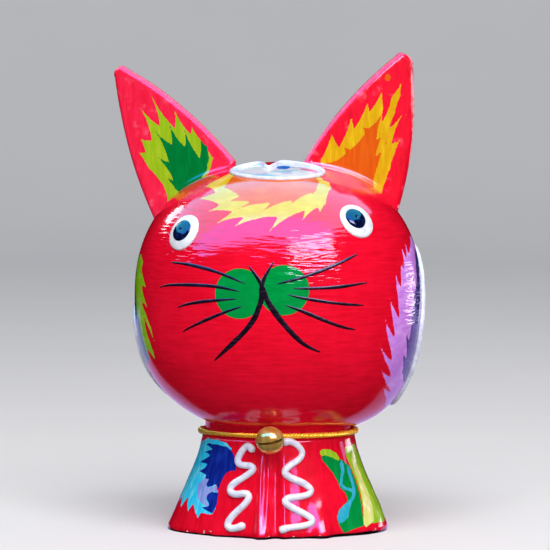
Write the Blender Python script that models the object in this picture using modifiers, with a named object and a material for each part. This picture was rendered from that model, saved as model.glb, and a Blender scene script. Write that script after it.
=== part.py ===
# Painted papier-mache cat: a round head with two plate ears on a short flared body,
# raised paint on it, a gold cord round its neck and a small brass bell.
# Metres, +Z up, the cat faces -Y. Left and right are the cat's own: its left is +X.
# The origin is the middle of the underside.

import math

import bmesh
import bpy
from mathutils import Matrix, Vector

MM = 0.001

# Head: a turned form, fuller than a ball. Its outline is (r/R)^n + (z/H)^n = 1, with H above and below.
HEAD_CENTRE = Vector((0.0, 0.0, 65.0 * MM))
HEAD_RADIUS = 41.1 * MM
HEAD_RISE = 39.0 * MM
HEAD_DROP = 38.0 * MM
HEAD_FULLNESS = 2.44
HEAD_RINGS = 24
HEAD_STEPS = 44
HEAD_ROLL = math.radians(3.0)  # the face and the ears sit a little turned, left side high

# Body: a flared skirt, round at the neck and pointed in front at the foot
NECK_RADIUS = 21.0 * MM
NECK_TOP = 33.0 * MM
NECK_STEP = 0.5 * MM  # height over which the shoulder steps in to the neck
SHOULDER_HEIGHT = 26.9 * MM
SHOULDER_RADIUS = 21.9 * MM
FOOT_HALF_WIDTH = 31.6 * MM
FOOT_HALF_DEPTH = 26.0 * MM
FOOT_FULLNESS = 1.55  # under 2 the front of the foot is drawn to a blunt point
NECK_FULLNESS = 2.0
FLARE_POWER = 0.93
BODY_STEPS = 56
BODY_RINGS = 8
SKIN_BELOW_FOOT = 2.0 * MM  # how far a cutting skin of the body runs on below the foot
SLOPE_ANGLE = 0.01  # steps, in radians and in height, over which the skirt's slope is taken
SLOPE_HEIGHT = 1.0 * MM
GROOVE_ANGLE = math.radians(3.0)  # the furrow between the front legs
GROOVE_DEPTH = 1.3 * MM
GROOVE_WIDTHS = (math.radians(5.0), math.radians(3.0))  # its right flank, its left flank

# Ears: flat plates between two arcs, in a plane turned out from the face
EAR_TURN = math.radians(20.0)
EAR_THICKNESS = 3.2 * MM
EAR_EDGE_ROUNDING = 1.0 * MM
EAR_PIVOT = Vector((22.4 * MM, 33.0 * MM))  # sideways and up from the head's centre, as all below
EAR_SET_BACK = 2.0 * MM
EAR_OUTER_FOOT = (34.3 * MM, 21.8 * MM)
EAR_OUTER_TIP = (41.7 * MM, 68.2 * MM)
EAR_INNER_TIP = (39.2 * MM, 71.0 * MM)
EAR_INNER_FOOT = (9.2 * MM, 39.4 * MM)
EAR_OUTER_BULGE = 2.4 * MM
EAR_INNER_BULGE = 2.2 * MM
EAR_INNER_ROOT = (11.2 * MM, 27.4 * MM)  # the plate runs on inside the head down to these two corners
EAR_OUTER_ROOT = (25.4 * MM, 17.0 * MM)
EAR_OUTER_PARTS = 5
EAR_INNER_PARTS = 6
# The two were made by hand, so one leans out further and is a little longer
EARS = {
    "left": {"lean": math.radians(-0.7), "length": 0.97},
    "right": {"lean": math.radians(5.7), "length": 1.03},
}

# Raised paint, piped on as a round bead that has sunk a little into the surface
GAP = 0.3 * MM
SQUIGGLE_BEAD = 0.95 * MM
BEAD_LIFT = 0.2 * MM
BEAD_SIDES = 2  # bevel resolution, which gives 8 sides
BEAD_END = 0.75  # how thick a squiggle ends, as a share of its bead

# Outlined hearts. Aim is the way from the head's centre to the heart's middle: degrees round from the
# front, degrees up. Half width and half height are measured over the surface. The lower half is that
# share as high as the upper, turn leans the tip, and upright is the way the dent points before the turn.
CROWN_HEART = {
    "aim": (11.8, 71.6),
    "half_width": 14.9 * MM,
    "half_height": 9.0 * MM,
    "lower_half": 1.0,
    "turn": 0.0,
    "upright": Vector((0.0, 1.0, 0.0)),
    "bead": 0.95 * MM,
}
LEFT_CHEEK_HEART = {
    "aim": (105.6, -19.2),
    "half_width": 18.3 * MM,
    "half_height": 31.9 * MM,
    "lower_half": 0.6,
    "turn": -17.9,
    "upright": Vector((0.0, 0.0, 1.0)),
    "bead": 0.85 * MM,
}
RIGHT_CHEEK_HEART = {
    "aim": (-102.4, -23.0),
    "half_width": 21.4 * MM,
    "half_height": 25.0 * MM,
    "lower_half": 0.48,
    "turn": 51.3,
    "upright": Vector((0.0, 0.0, 1.0)),
    "bead": 0.75 * MM,
}
HEART_DENT = 0.33  # share of its half height
HEART_DENT_WIDTH = 0.3  # share of its half width
HEART_DRAWN_IN = 0.28  # how much narrower its lower half gets
HEART_POINTS = 36

# Squiggles down the front legs: their corners in mm, sideways and up as seen from the front
LEFT_LEG_CORNERS = [
    (3.1, 26.0), (6.6, 26.3), (9.6, 23.8), (2.2, 18.8),
    (12.4, 13.2), (2.4, 10.4), (12.8, 5.4), (2.8, 2.4),
]
RIGHT_LEG_CORNERS = [
    (-5.0, 24.0), (-8.0, 26.2), (-10.6, 21.4), (-4.0, 19.6),
    (-12.8, 13.4), (-5.0, 10.9), (-14.6, 3.0), (-7.0, 3.0),
]
SQUIGGLE_TURN_RADIUS = 1.5 * MM
SQUIGGLE_TURN_POINTS = 5

# Eyes: drops of thick paint, as direction from the head's centre before the roll
EYES = {"left": (44.7, 32.5), "right": (-39.1, 31.5)}
EYE_RADIUS = 5.35 * MM
EYE_HEIGHT = 0.9 * MM
PUPIL_RADIUS = 3.05 * MM
PUPIL_HEIGHT = 0.95 * MM
PUPIL_SUNK = 0.1 * MM

# Neck cord and bell
CORD_RADIUS = 0.7 * MM
CORD_RING_RADIUS = 22.0 * MM
CORD_HEIGHT = 28.3 * MM
CORD_FRONT_RISE = 0.3 * MM
CORD_BULGE = 0.7 * MM  # where the bell's loop passes behind it
CORD_BULGE_WIDTH = math.radians(7.0)
CORD_STEPS = 44
BELL_RADIUS = 4.0 * MM
BELL_WALL = 0.4 * MM
BELL_SEAM_RADIUS = 4.15 * MM
BELL_SEAM_HEIGHT = 0.5 * MM
BELL_SLOT_WIDTH = 0.8 * MM
BELL_SLOT_HOLE_RADIUS = 0.8 * MM
BELL_SLOT_START = 0.5 * MM  # how far under the seam the slot begins
BELL_LOOP_RADIUS = 1.2 * MM
BELL_LOOP_WIRE = 0.25 * MM
BELL_LOOP_SUNK = 0.15 * MM
BELL_LOOP_FORWARD = 0.05 * MM
BELL_DIP = math.radians(12.0)  # its open end points forward and this far down
BELL_SLOT_TURN = math.radians(10.0)
KNOT_RADIUS = 1.5 * MM
KNOT_SET_BACK = 1.4 * MM
TAIL_START = 0.8 * MM
TAIL_LENGTH = 7.0 * MM
TAIL_LIFT = 1.2 * MM
TAIL_RADIUS = 0.66 * MM
TAIL_POINTS = 7
TAIL_ANGLES = (math.radians(1.5), math.radians(9.9))  # from the middle of the back, at its top and its end

RED = (0.72, 0.006, 0.028, 1.0)
WHITE = (0.82, 0.83, 0.86, 1.0)
BLACK = (0.006, 0.006, 0.012, 1.0)
GOLD_THREAD = (0.72, 0.38, 0.04, 1.0)
BRASS = (0.62, 0.47, 0.16, 1.0)


def clear_scene():
    for thing in list(bpy.data.objects):
        bpy.data.objects.remove(thing, do_unlink=True)


def new_collection(name):
    made = bpy.data.collections.new(name)
    bpy.context.scene.collection.children.link(made)
    return made


def new_material(name, colour, roughness, metallic=0.0):
    made = bpy.data.materials.new(name)
    made.use_nodes = True
    shader = made.node_tree.nodes["Principled BSDF"]
    shader.inputs["Base Color"].default_value = colour
    shader.inputs["Roughness"].default_value = roughness
    shader.inputs["Metallic"].default_value = metallic
    return made


def add_object(name, data, collection, material=None):
    made = bpy.data.objects.new(name, data)
    collection.objects.link(made)
    if material:
        made.data.materials.append(material)
    return made


def mesh_from_bmesh(name, shape):
    bmesh.ops.recalc_face_normals(shape, faces=shape.faces)
    mesh = bpy.data.meshes.new(name)
    shape.to_mesh(mesh)
    shape.free()
    return mesh


def helper(thing):
    thing.hide_render = True
    thing.display_type = "WIRE"
    return thing


def boolean(thing, other, operation):
    modifier = thing.modifiers.new(f"{operation.title()} {other.name}", "BOOLEAN")
    modifier.operation = operation
    modifier.object = other
    modifier.solver = "EXACT"


def smooth(mesh):
    mesh.shade_smooth()
    mesh.set_sharp_from_angle(angle=math.radians(40))


def direction(azimuth, elevation):
    # Azimuth in degrees from the cat's front towards its left, elevation above level, then the head's roll
    turn, rise = math.radians(azimuth), math.radians(elevation)
    level = math.cos(rise)
    plain = Vector((math.sin(turn) * level, -math.cos(turn) * level, math.sin(rise)))
    return Matrix.Rotation(-HEAD_ROLL, 3, "Y") @ plain


def half_height(z):
    return HEAD_RISE if z > 0 else HEAD_DROP


def head_form(offset):
    # 1 on the head's surface, growing in step with the distance from its centre
    across = math.hypot(offset.x, offset.y) / HEAD_RADIUS
    up = abs(offset.z) / half_height(offset.z)
    return (across**HEAD_FULLNESS + up**HEAD_FULLNESS) ** (1 / HEAD_FULLNESS)


def head_point(towards, lift=0.0):
    # The surface point in that direction, moved out along the surface's normal by the lift
    place = towards / head_form(towards)
    level = Vector((place.x, place.y, 0.0))
    across = level.length / HEAD_RADIUS
    normal = Vector((0.0, 0.0, 0.0))
    if level.length > 1e-9:
        normal += level.normalized() * (across ** (HEAD_FULLNESS - 1) / HEAD_RADIUS)
    tall = half_height(place.z)
    steep = (abs(place.z) / tall) ** (HEAD_FULLNESS - 1) / tall
    normal += Vector((0.0, 0.0, math.copysign(steep, place.z)))
    normal.normalize()
    return HEAD_CENTRE + place + normal * lift, normal


def head_profile(grow):
    # Top to bottom on the +X side, as the Screw modifier needs it
    points = []
    for ring in range(HEAD_RINGS + 1):
        angle = math.pi * ring / HEAD_RINGS
        across = max(math.sin(angle), 0.0) ** (2 / HEAD_FULLNESS)
        up = math.copysign(abs(math.cos(angle)) ** (2 / HEAD_FULLNESS), math.cos(angle))
        if ring in (0, HEAD_RINGS):
            across = 0.0
        points.append((across * (HEAD_RADIUS + grow), 0.0, up * (half_height(up) + grow)))
    return points


def head_shape(name, collection, grow=0.0, material=None):
    points = head_profile(grow)
    mesh = bpy.data.meshes.new(name)
    mesh.from_pydata(points, [(i, i + 1) for i in range(len(points) - 1)], [])
    made = add_object(name, mesh, collection, material)
    made.location = HEAD_CENTRE
    screw = made.modifiers.new("Turn", "SCREW")
    screw.steps = HEAD_STEPS
    screw.render_steps = HEAD_STEPS
    screw.use_merge_vertices = True
    screw.merge_threshold = 0.00001
    screw.use_smooth_shade = True
    return made


def body_radius(angle, height, grow=0.0):
    # Distance from the upright axis to the skirt, at an angle from the cat's front towards its left
    share = min(max(height / SHOULDER_HEIGHT, 0.0), 1.0)
    fall = share**FLARE_POWER
    flare = (1.0 - fall) / 2 + (1.0 + math.cos(math.pi * fall)) / 4  # 1 at the foot, 0 at the shoulder
    half_width = SHOULDER_RADIUS + (FOOT_HALF_WIDTH - SHOULDER_RADIUS) * flare
    half_depth = SHOULDER_RADIUS + (FOOT_HALF_DEPTH - SHOULDER_RADIUS) * flare
    drawn = max(math.cos(angle), 0.0)
    fullness = NECK_FULLNESS + (FOOT_FULLNESS - NECK_FULLNESS) * flare * drawn
    side = abs(math.sin(angle)) / half_width
    front = abs(math.cos(angle)) / half_depth
    radius = (side**fullness + front**fullness) ** (-1 / fullness)
    beside = (angle - GROOVE_ANGLE + math.pi) % (2 * math.pi) - math.pi
    width = GROOVE_WIDTHS[0] if beside < 0 else GROOVE_WIDTHS[1]
    fade = min(flare * 4, 1.0)
    return radius - GROOVE_DEPTH * fade * math.exp(-((beside / width) ** 2)) + grow


def body_place(angle, height):
    reach = body_radius(angle, height)
    return Vector((math.sin(angle) * reach, -math.cos(angle) * reach, height))


def body_point(angle, height, lift):
    # The skirt's point at that angle and height, moved out along the surface's normal by the lift
    along = body_place(angle + SLOPE_ANGLE, height) - body_place(angle - SLOPE_ANGLE, height)
    rise = body_place(angle, height + SLOPE_HEIGHT) - body_place(angle, height - SLOPE_HEIGHT)
    return body_place(angle, height) + along.cross(rise).normalized() * lift


def body_shape(name, collection, grow=0.0):
    # A loft of rings, from the foot to the shoulder and on up the neck into the head
    levels = [(SHOULDER_HEIGHT * ring / BODY_RINGS, None) for ring in range(BODY_RINGS + 1)]
    levels.append((SHOULDER_HEIGHT + NECK_STEP, NECK_RADIUS))
    levels.append((NECK_TOP, NECK_RADIUS))
    if grow:
        levels[0] = (-SKIN_BELOW_FOOT, None)
    shape = bmesh.new()
    rings = []
    for height, fixed in levels:
        ring = []
        for step in range(BODY_STEPS):
            angle = 2 * math.pi * step / BODY_STEPS
            reach = fixed + grow if fixed else body_radius(angle, height, grow)
            ring.append(shape.verts.new((math.sin(angle) * reach, -math.cos(angle) * reach, height)))
        rings.append(ring)
    for lower, upper in zip(rings, rings[1:]):
        for step in range(BODY_STEPS):
            after = (step + 1) % BODY_STEPS
            shape.faces.new((lower[step], lower[after], upper[after], upper[step]))
    shape.faces.new(rings[0])
    shape.faces.new(rings[-1])
    return add_object(name, mesh_from_bmesh(name, shape), collection)


def arc(start, end, bulge, count):
    # A shallow arc from start to end that stands off its chord by the bulge, as a parabola
    start, end = Vector(start), Vector(end)
    chord = end - start
    off = Vector((chord.y, -chord.x)).normalized()
    points = []
    for i in range(count + 1):
        share = i / count
        points.append(start + chord * share + off * (4 * bulge * share * (1 - share)))
    return points


def ear_shape(name, collection, side):
    # The plate's outline runs up the outer edge, round the tip and down the inner edge
    outer = arc(EAR_OUTER_FOOT, EAR_OUTER_TIP, EAR_OUTER_BULGE, EAR_OUTER_PARTS)
    inner = arc(EAR_INNER_TIP, EAR_INNER_FOOT, EAR_INNER_BULGE, EAR_INNER_PARTS)
    roots = [Vector(EAR_INNER_ROOT), Vector(EAR_OUTER_ROOT)]
    inset = EAR_EDGE_ROUNDING
    lean = Matrix.Rotation(-EARS[side]["lean"], 2)
    outline = [place - EAR_PIVOT for place in outer + inner + roots]
    outline = [lean @ Vector((place.x, place.y * EARS[side]["length"])) for place in outline]
    curve = bpy.data.curves.new(name, "CURVE")
    curve.dimensions = "2D"
    curve.fill_mode = "BOTH"
    curve.extrude = EAR_THICKNESS / 2 - inset
    curve.bevel_depth = inset
    curve.bevel_resolution = 1
    curve.offset = -inset
    spline = curve.splines.new("POLY")
    spline.points.add(len(outline) - 1)
    for point, place in zip(spline.points, outline):
        point.co = (place.x / math.cos(EAR_TURN), place.y, 0.0, 1.0)
    spline.use_cyclic_u = True
    guide = bpy.data.objects.new(name + "_outline", curve)
    collection.objects.link(guide)
    stand = Matrix.Rotation(math.radians(90), 4, "X")
    turn = Matrix.Rotation(EAR_TURN, 4, "Z")
    place = Matrix.Translation((EAR_PIVOT.x, EAR_SET_BACK, EAR_PIVOT.y)) @ turn @ stand
    mirror = Matrix.Scale(-1, 4, (1, 0, 0)) if side == "right" else Matrix.Identity(4)
    roll = Matrix.Translation(HEAD_CENTRE) @ Matrix.Rotation(-HEAD_ROLL, 4, "Y")
    return mesh_from_curve(guide, name, collection, roll @ mirror @ place)


def mesh_from_curve(guide, name, collection, matrix=None, material=None):
    # The curve's evaluated mesh with its caps welded, as an object of its own
    bpy.context.view_layer.update()
    graph = bpy.context.evaluated_depsgraph_get()
    mesh = bpy.data.meshes.new_from_object(guide.evaluated_get(graph))
    mesh.name = name
    if matrix is None:
        matrix = guide.matrix_world.copy()
    mesh.transform(matrix)
    shape = bmesh.new()
    shape.from_mesh(mesh)
    bmesh.ops.remove_doubles(shape, verts=shape.verts, dist=0.00001)
    bmesh.ops.recalc_face_normals(shape, faces=shape.faces)
    shape.to_mesh(mesh)
    shape.free()
    bpy.data.objects.remove(guide, do_unlink=True)
    mesh.materials.clear()
    return add_object(name, mesh, collection, material)


def tube(name, points, radius, collection, closed, material, ends=BEAD_END, sides=BEAD_SIDES):
    # A round bead along the points, its open ends a little thinner
    curve = bpy.data.curves.new(name, "CURVE")
    curve.dimensions = "3D"
    curve.bevel_depth = radius
    curve.bevel_resolution = sides
    curve.use_fill_caps = True
    spline = curve.splines.new("POLY")
    spline.points.add(len(points) - 1)
    for point, place in zip(spline.points, points):
        point.co = (*place, 1.0)
    spline.use_cyclic_u = closed
    if not closed:
        spline.points[0].radius = ends
        spline.points[-1].radius = ends
    guide = bpy.data.objects.new(name + "_line", curve)
    collection.objects.link(guide)
    return mesh_from_curve(guide, name, collection, None, material)


def heart_outline(heart):
    # A ring with a dent in its top and its lower half drawn in, laid over the head's surface
    towards = direction(*heart["aim"])
    upright = heart["upright"]
    up = (upright - towards * upright.dot(towards)).normalized()
    across = up.cross(towards).normalized()
    turn = math.radians(heart["turn"])
    reach = (head_point(towards)[0] - HEAD_CENTRE).length
    points = []
    for i in range(HEART_POINTS):
        t = 2 * math.pi * (i + 0.5) / HEART_POINTS
        x = heart["half_width"] * math.sin(t) * (1 - HEART_DRAWN_IN * (1 - math.cos(t)) / 2)
        y = heart["half_height"] * math.cos(t)
        if math.cos(t) > 0:
            beside = x / (HEART_DENT_WIDTH * heart["half_width"])
            y -= HEART_DENT * heart["half_height"] * math.exp(-(beside**2))
        else:
            y *= heart["lower_half"]
        u = x * math.cos(turn) - y * math.sin(turn)
        v = x * math.sin(turn) + y * math.cos(turn)
        angle = math.hypot(u, v) / reach
        way = (across * u + up * v).normalized()
        points.append(head_point(towards * math.cos(angle) + way * math.sin(angle), BEAD_LIFT)[0])
    return points


def rounded_line(corners, radius, count):
    # Straight runs joined by arcs of the radius, as points in a plane
    corners = [Vector(corner) * MM for corner in corners]
    points = [corners[0]]
    for before, corner, after in zip(corners, corners[1:], corners[2:]):
        back, on = (before - corner).normalized(), (after - corner).normalized()
        half = back.angle(on) / 2
        centre = corner + (back + on).normalized() * (radius / math.sin(half))
        first = corner + back * (radius / math.tan(half)) - centre
        last = corner + on * (radius / math.tan(half)) - centre
        sweep = first.angle_signed(last)
        for i in range(count):
            points.append(centre + Matrix.Rotation(-sweep * i / (count - 1), 2) @ first)
    points.append(corners[-1])
    return points


def angle_at(sideways, height):
    # The angle round the skirt at which it has that sideways place, found by closing in on it
    angle = 0.0
    for _ in range(8):
        angle = math.asin(sideways / body_radius(angle, height))
    return angle


def squiggle_line(corners):
    flat = rounded_line(corners, SQUIGGLE_TURN_RADIUS, SQUIGGLE_TURN_POINTS)
    return [body_point(angle_at(place.x, place.y), place.y, BEAD_LIFT) for place in flat]


def drop(name, place, normal, radius, height, collection, material=None, grow=0.0):
    # A lens of thick paint, its flat axis along the surface's normal
    shape = bmesh.new()
    bmesh.ops.create_uvsphere(shape, u_segments=20, v_segments=8, radius=1.0)
    size = Matrix.Diagonal((radius + grow, radius + grow, height + grow, 1.0))
    face = normal.to_track_quat("Z", "Y").to_matrix().to_4x4()
    bmesh.ops.transform(shape, matrix=Matrix.Translation(place) @ face @ size, verts=shape.verts)
    made = add_object(name, mesh_from_bmesh(name, shape), collection, material)
    smooth(made.data)
    return made


def make_eye(side, collection, cutters, head_skin, materials):
    azimuth, elevation = EYES[side]
    place, normal = head_point(direction(azimuth, elevation))
    white = drop(f"{side}_eye_white", place, normal, EYE_RADIUS, EYE_HEIGHT, collection, materials["white"])
    boolean(white, head_skin, "DIFFERENCE")
    skin = helper(drop(f"{side}_eye_skin", place, normal, EYE_RADIUS, EYE_HEIGHT, cutters, None, GAP))
    middle = place + normal * (EYE_HEIGHT - PUPIL_SUNK)
    black = materials["black"]
    pupil = drop(f"{side}_pupil", middle, normal, PUPIL_RADIUS, PUPIL_HEIGHT, collection, black)
    boolean(pupil, skin, "DIFFERENCE")


def cord_point(angle):
    # Angle from the cat's front towards its left. The ring bulges where the bell's loop passes behind it.
    wrapped = (angle + math.pi) % (2 * math.pi) - math.pi
    reach = CORD_RING_RADIUS + CORD_BULGE * math.exp(-((wrapped / CORD_BULGE_WIDTH) ** 2))
    height = CORD_HEIGHT + CORD_FRONT_RISE * math.cos(angle)
    return Vector((math.sin(angle) * reach, -math.cos(angle) * reach, height))


def make_cord(collection, cutters, material):
    # A closed ring, tied in a small round knot at the back with two short tails
    ring = [cord_point(2 * math.pi * i / CORD_STEPS) for i in range(CORD_STEPS)]
    cord = tube("neck_cord", ring, CORD_RADIUS, collection, True, material, sides=1)
    back = cord_point(math.pi) + Vector((0.0, KNOT_SET_BACK, 0.0))
    shape = bmesh.new()
    bmesh.ops.create_uvsphere(shape, u_segments=12, v_segments=8, radius=KNOT_RADIUS)
    bmesh.ops.transform(shape, matrix=Matrix.Translation(back), verts=shape.verts)
    knot = helper(add_object("cord_knot", mesh_from_bmesh("cord_knot", shape), cutters))
    boolean(cord, knot, "UNION")
    for side in (-1, 1):
        # Each tail hangs down the back of the skirt, following it, clear of it by the gap
        line = []
        for i in range(TAIL_POINTS):
            share = i / (TAIL_POINTS - 1)
            angle = math.pi + side * (TAIL_ANGLES[0] * (1 - share) + TAIL_ANGLES[1] * share)
            height = back.z - TAIL_START - TAIL_LENGTH * share
            line.append(body_point(angle, height, TAIL_LIFT))
        name = f"cord_tail_{'left' if side < 0 else 'right'}"
        tail = helper(tube(name, line, TAIL_RADIUS, cutters, False, None, 1.0, sides=1))
        boolean(cord, tail, "UNION")
    smooth(cord.data)


def bell_solid(name, radius, collection, segments=20, rings=12):
    shape = bmesh.new()
    bmesh.ops.create_uvsphere(shape, u_segments=segments, v_segments=rings, radius=radius)
    return add_object(name, mesh_from_bmesh(name, shape), collection)


def bell_disc(name, radius, depth, collection, turn=None):
    shape = bmesh.new()
    bmesh.ops.create_cone(shape, cap_ends=True, segments=24, radius1=radius, radius2=radius, depth=depth)
    if turn:
        bmesh.ops.transform(shape, matrix=turn, verts=shape.verts)
    return add_object(name, mesh_from_bmesh(name, shape), collection)


def make_bell(collection, cutters, material):
    # Built upright with its slot below, then turned to point forward and down
    bell = bell_solid("bell", BELL_RADIUS, collection)
    bell.data.materials.append(material)
    seam = helper(bell_disc("bell_seam", BELL_SEAM_RADIUS, BELL_SEAM_HEIGHT, cutters))
    inside = helper(bell_solid("bell_inside", BELL_RADIUS - BELL_WALL, cutters, 16, 10))
    reach = 3 * BELL_RADIUS
    shape = bmesh.new()
    bmesh.ops.create_cube(shape, size=1.0)
    drop_by = Matrix.Translation((0.0, 0.0, -BELL_RADIUS - BELL_SLOT_START))
    size = Matrix.Diagonal((reach, BELL_SLOT_WIDTH, 2 * BELL_RADIUS, 1.0))
    bmesh.ops.transform(shape, matrix=drop_by @ size, verts=shape.verts)
    slot = helper(add_object("bell_slot", mesh_from_bmesh("bell_slot", shape), cutters))
    lying = Matrix.Rotation(math.radians(90), 4, "Y")
    across = Matrix.Translation((0.0, 0.0, -BELL_SLOT_HOLE_RADIUS)) @ lying
    holes = helper(bell_disc("bell_slot_holes", BELL_SLOT_HOLE_RADIUS, reach, cutters, across))
    bpy.ops.mesh.primitive_torus_add(
        major_segments=16, minor_segments=6, major_radius=BELL_LOOP_RADIUS, minor_radius=BELL_LOOP_WIRE
    )
    loop = helper(bpy.context.object)
    loop.name = "bell_loop"
    for owner in list(loop.users_collection):
        owner.objects.unlink(loop)
    cutters.objects.link(loop)
    loop_height = BELL_RADIUS + BELL_LOOP_RADIUS - BELL_LOOP_SUNK
    loop.data.transform(Matrix.Rotation(math.radians(90), 4, "Y"))
    loop.data.transform(Matrix.Rotation(BELL_SLOT_TURN, 4, "Z"))
    loop.data.transform(Matrix.Translation((0.0, 0.0, loop_height)))
    boolean(bell, seam, "UNION")
    boolean(bell, inside, "DIFFERENCE")
    boolean(bell, slot, "DIFFERENCE")
    boolean(bell, holes, "DIFFERENCE")
    boolean(bell, loop, "UNION")
    # The loop's wire runs between the neck and the bulged cord
    front = cord_point(0.0)
    loop_middle = front + Vector((0.0, -BELL_LOOP_FORWARD, 0.0))
    lean = Matrix.Rotation(math.radians(-90) + BELL_DIP, 3, "X")
    centre = loop_middle - lean @ Vector((0.0, 0.0, loop_height))
    swing = Matrix.Rotation(-BELL_SLOT_TURN, 3, "Z")
    place = Matrix.Translation(centre) @ (lean @ swing).to_4x4()
    for thing in (bell, seam, inside, slot, holes, loop):
        thing.matrix_world = place
    smooth(bell.data)


def main():
    clear_scene()
    cat = new_collection("papier_mache_cat")
    cutters = new_collection("cutters_and_cores")
    materials = {
        "red": new_material("varnished_red", RED, 0.25),
        "white": new_material("white_bead_paint", WHITE, 0.3),
        "black": new_material("black_drop_paint", BLACK, 0.08),
        "thread": new_material("gold_thread", GOLD_THREAD, 0.35, 1.0),
        "brass": new_material("brass", BRASS, 0.22, 1.0),
    }

    cat_body = head_shape("cat_body", cat, 0.0, materials["red"])
    boolean(cat_body, helper(body_shape("skirt", cutters)), "UNION")
    for side in ("left", "right"):
        boolean(cat_body, helper(ear_shape(f"{side}_ear", cutters, side)), "UNION")

    head_skin = helper(head_shape("head_skin", cutters, GAP))
    body_skin = helper(body_shape("body_skin", cutters, GAP))
    hearts = {
        "crown_piping": CROWN_HEART,
        "left_cheek_piping": LEFT_CHEEK_HEART,
        "right_cheek_piping": RIGHT_CHEEK_HEART,
    }
    for name, heart in hearts.items():
        bead = tube(name, heart_outline(heart), heart["bead"], cat, True, materials["white"])
        boolean(bead, head_skin, "DIFFERENCE")
    squiggles = {
        "left_leg_piping": squiggle_line(LEFT_LEG_CORNERS),
        "right_leg_piping": squiggle_line(RIGHT_LEG_CORNERS),
    }
    for name, line in squiggles.items():
        bead = tube(name, line, SQUIGGLE_BEAD, cat, False, materials["white"])
        boolean(bead, body_skin, "DIFFERENCE")

    for side in EYES:
        make_eye(side, cat, cutters, head_skin, materials)
    make_cord(cat, cutters, materials["thread"])
    make_bell(cat, cutters, materials["brass"])


main()
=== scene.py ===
import bpy
import numpy as np
from mathutils import Matrix


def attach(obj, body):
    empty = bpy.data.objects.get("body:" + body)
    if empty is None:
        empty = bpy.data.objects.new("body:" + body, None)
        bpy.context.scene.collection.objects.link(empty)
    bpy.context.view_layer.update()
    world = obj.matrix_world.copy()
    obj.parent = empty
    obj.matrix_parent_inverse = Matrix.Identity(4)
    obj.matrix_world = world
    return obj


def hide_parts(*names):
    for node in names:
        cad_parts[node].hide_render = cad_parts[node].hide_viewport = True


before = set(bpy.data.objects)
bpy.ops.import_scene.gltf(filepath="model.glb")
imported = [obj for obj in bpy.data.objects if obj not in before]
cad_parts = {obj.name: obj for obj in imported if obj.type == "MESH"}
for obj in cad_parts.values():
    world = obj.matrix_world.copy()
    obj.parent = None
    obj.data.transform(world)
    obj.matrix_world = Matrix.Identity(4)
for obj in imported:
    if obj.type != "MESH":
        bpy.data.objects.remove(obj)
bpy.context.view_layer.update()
print("frame loaded:", len(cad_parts), "nodes")

# Lengths are millimetres up to the moment a mesh is made. The cat faces -Y and its own left is +X.
metresPerMm = 0.001
markReach = 4.0  # painted outlines are known as distances up to this far from their edges


# Small vector helpers, all on whole arrays whose last axis is x, y, z

def unit(vectors):
    # Each vector divided by its length
    return vectors / np.maximum(np.linalg.norm(vectors, axis=-1, keepdims=True), 1e-12)


def way(azimuth, elevation):
    # Unit vectors from degrees round from the front towards the cat's left, and degrees up
    turn, rise = np.broadcast_arrays(np.radians(azimuth), np.radians(elevation))
    level = np.cos(rise)
    return np.stack([np.sin(turn) * level, -np.cos(turn) * level, np.sin(rise)], -1)


def bellCurve(values, width):
    # exp(-(value / width)^2)
    return np.exp(-((values / width) ** 2))


def handMade(vectors, seed, tightness, size, waves=9):
    # Slow unevenness: a sum of sine waves over the vectors, in fixed chance directions
    chance = np.random.default_rng(seed)
    total = 0.0
    for _ in range(waves):
        direction = chance.normal(size=3) * tightness
        total = total + np.sin(vectors @ direction + chance.uniform(0, 2 * np.pi))
    return total * size / np.sqrt(waves)


def roundAngles(count):
    # Even steps once round, from 0 up to but without 2 pi
    return np.linspace(0, 2 * np.pi, count, endpoint=False)


def wrappedDegrees(angle):
    # The angle in degrees, between -180 and 180
    return (np.degrees(angle) + 180.0) % 360.0 - 180.0


def laidFlat(ways, middle, right, up, size):
    # Flat millimetres to the right and up from the middle: the angle away from it times the size
    cosine = np.clip(ways @ middle, -1, 1)
    spread = np.arccos(cosine) * size / np.sqrt(np.maximum(1 - cosine**2, 1e-12))
    return (ways @ right) * spread, (ways @ up) * spread


# Meshes

def addPiece(name, points, faceCorners, faceStarts, material, marks=None):
    # A mesh at the origin from points and their faces, with one attribute for each mark: metres = mm / 1000
    mesh = bpy.data.meshes.new(name)
    mesh.vertices.add(len(points))
    mesh.vertices.foreach_set("co", (points * metresPerMm).astype(np.float32).ravel())
    mesh.loops.add(len(faceCorners))
    mesh.loops.foreach_set("vertex_index", faceCorners.astype(np.int32))
    mesh.polygons.add(len(faceStarts))
    mesh.polygons.foreach_set("loop_start", faceStarts.astype(np.int32))
    mesh.update(calc_edges=True)
    mesh.validate()
    mesh.shade_smooth()
    for mark, values in (marks or {}).items():
        layer = mesh.attributes.new(mark, "FLOAT", "POINT")
        layer.data.foreach_set("value", np.asarray(values, np.float32).ravel())
    mesh.materials.append(material)
    piece = bpy.data.objects.new(name, mesh)
    bpy.context.scene.collection.objects.link(piece)
    return piece


def ringFaces(count, around, closed):
    # Four-cornered faces between neighbouring rings, and a fan to a point at each end of an open row of rings
    grid = np.arange(count * around).reshape(count, around)
    beside = np.roll(grid, -1, axis=1)
    if closed:
        following = np.roll(grid, -1, axis=0)
        followingBeside = np.roll(beside, -1, axis=0)
        quads = np.stack([grid, beside, followingBeside, following], -1).reshape(-1, 4)
        return quads, np.zeros((0, 3), int)
    quads = np.stack([grid[:-1], beside[:-1], beside[1:], grid[1:]], -1).reshape(-1, 4)
    first = np.full(around, count * around)
    firstFan = np.stack([first, beside[0], grid[0]], -1)
    lastFan = np.stack([first + 1, grid[-1], beside[-1]], -1)
    return quads, np.concatenate([firstFan, lastFan])


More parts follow.
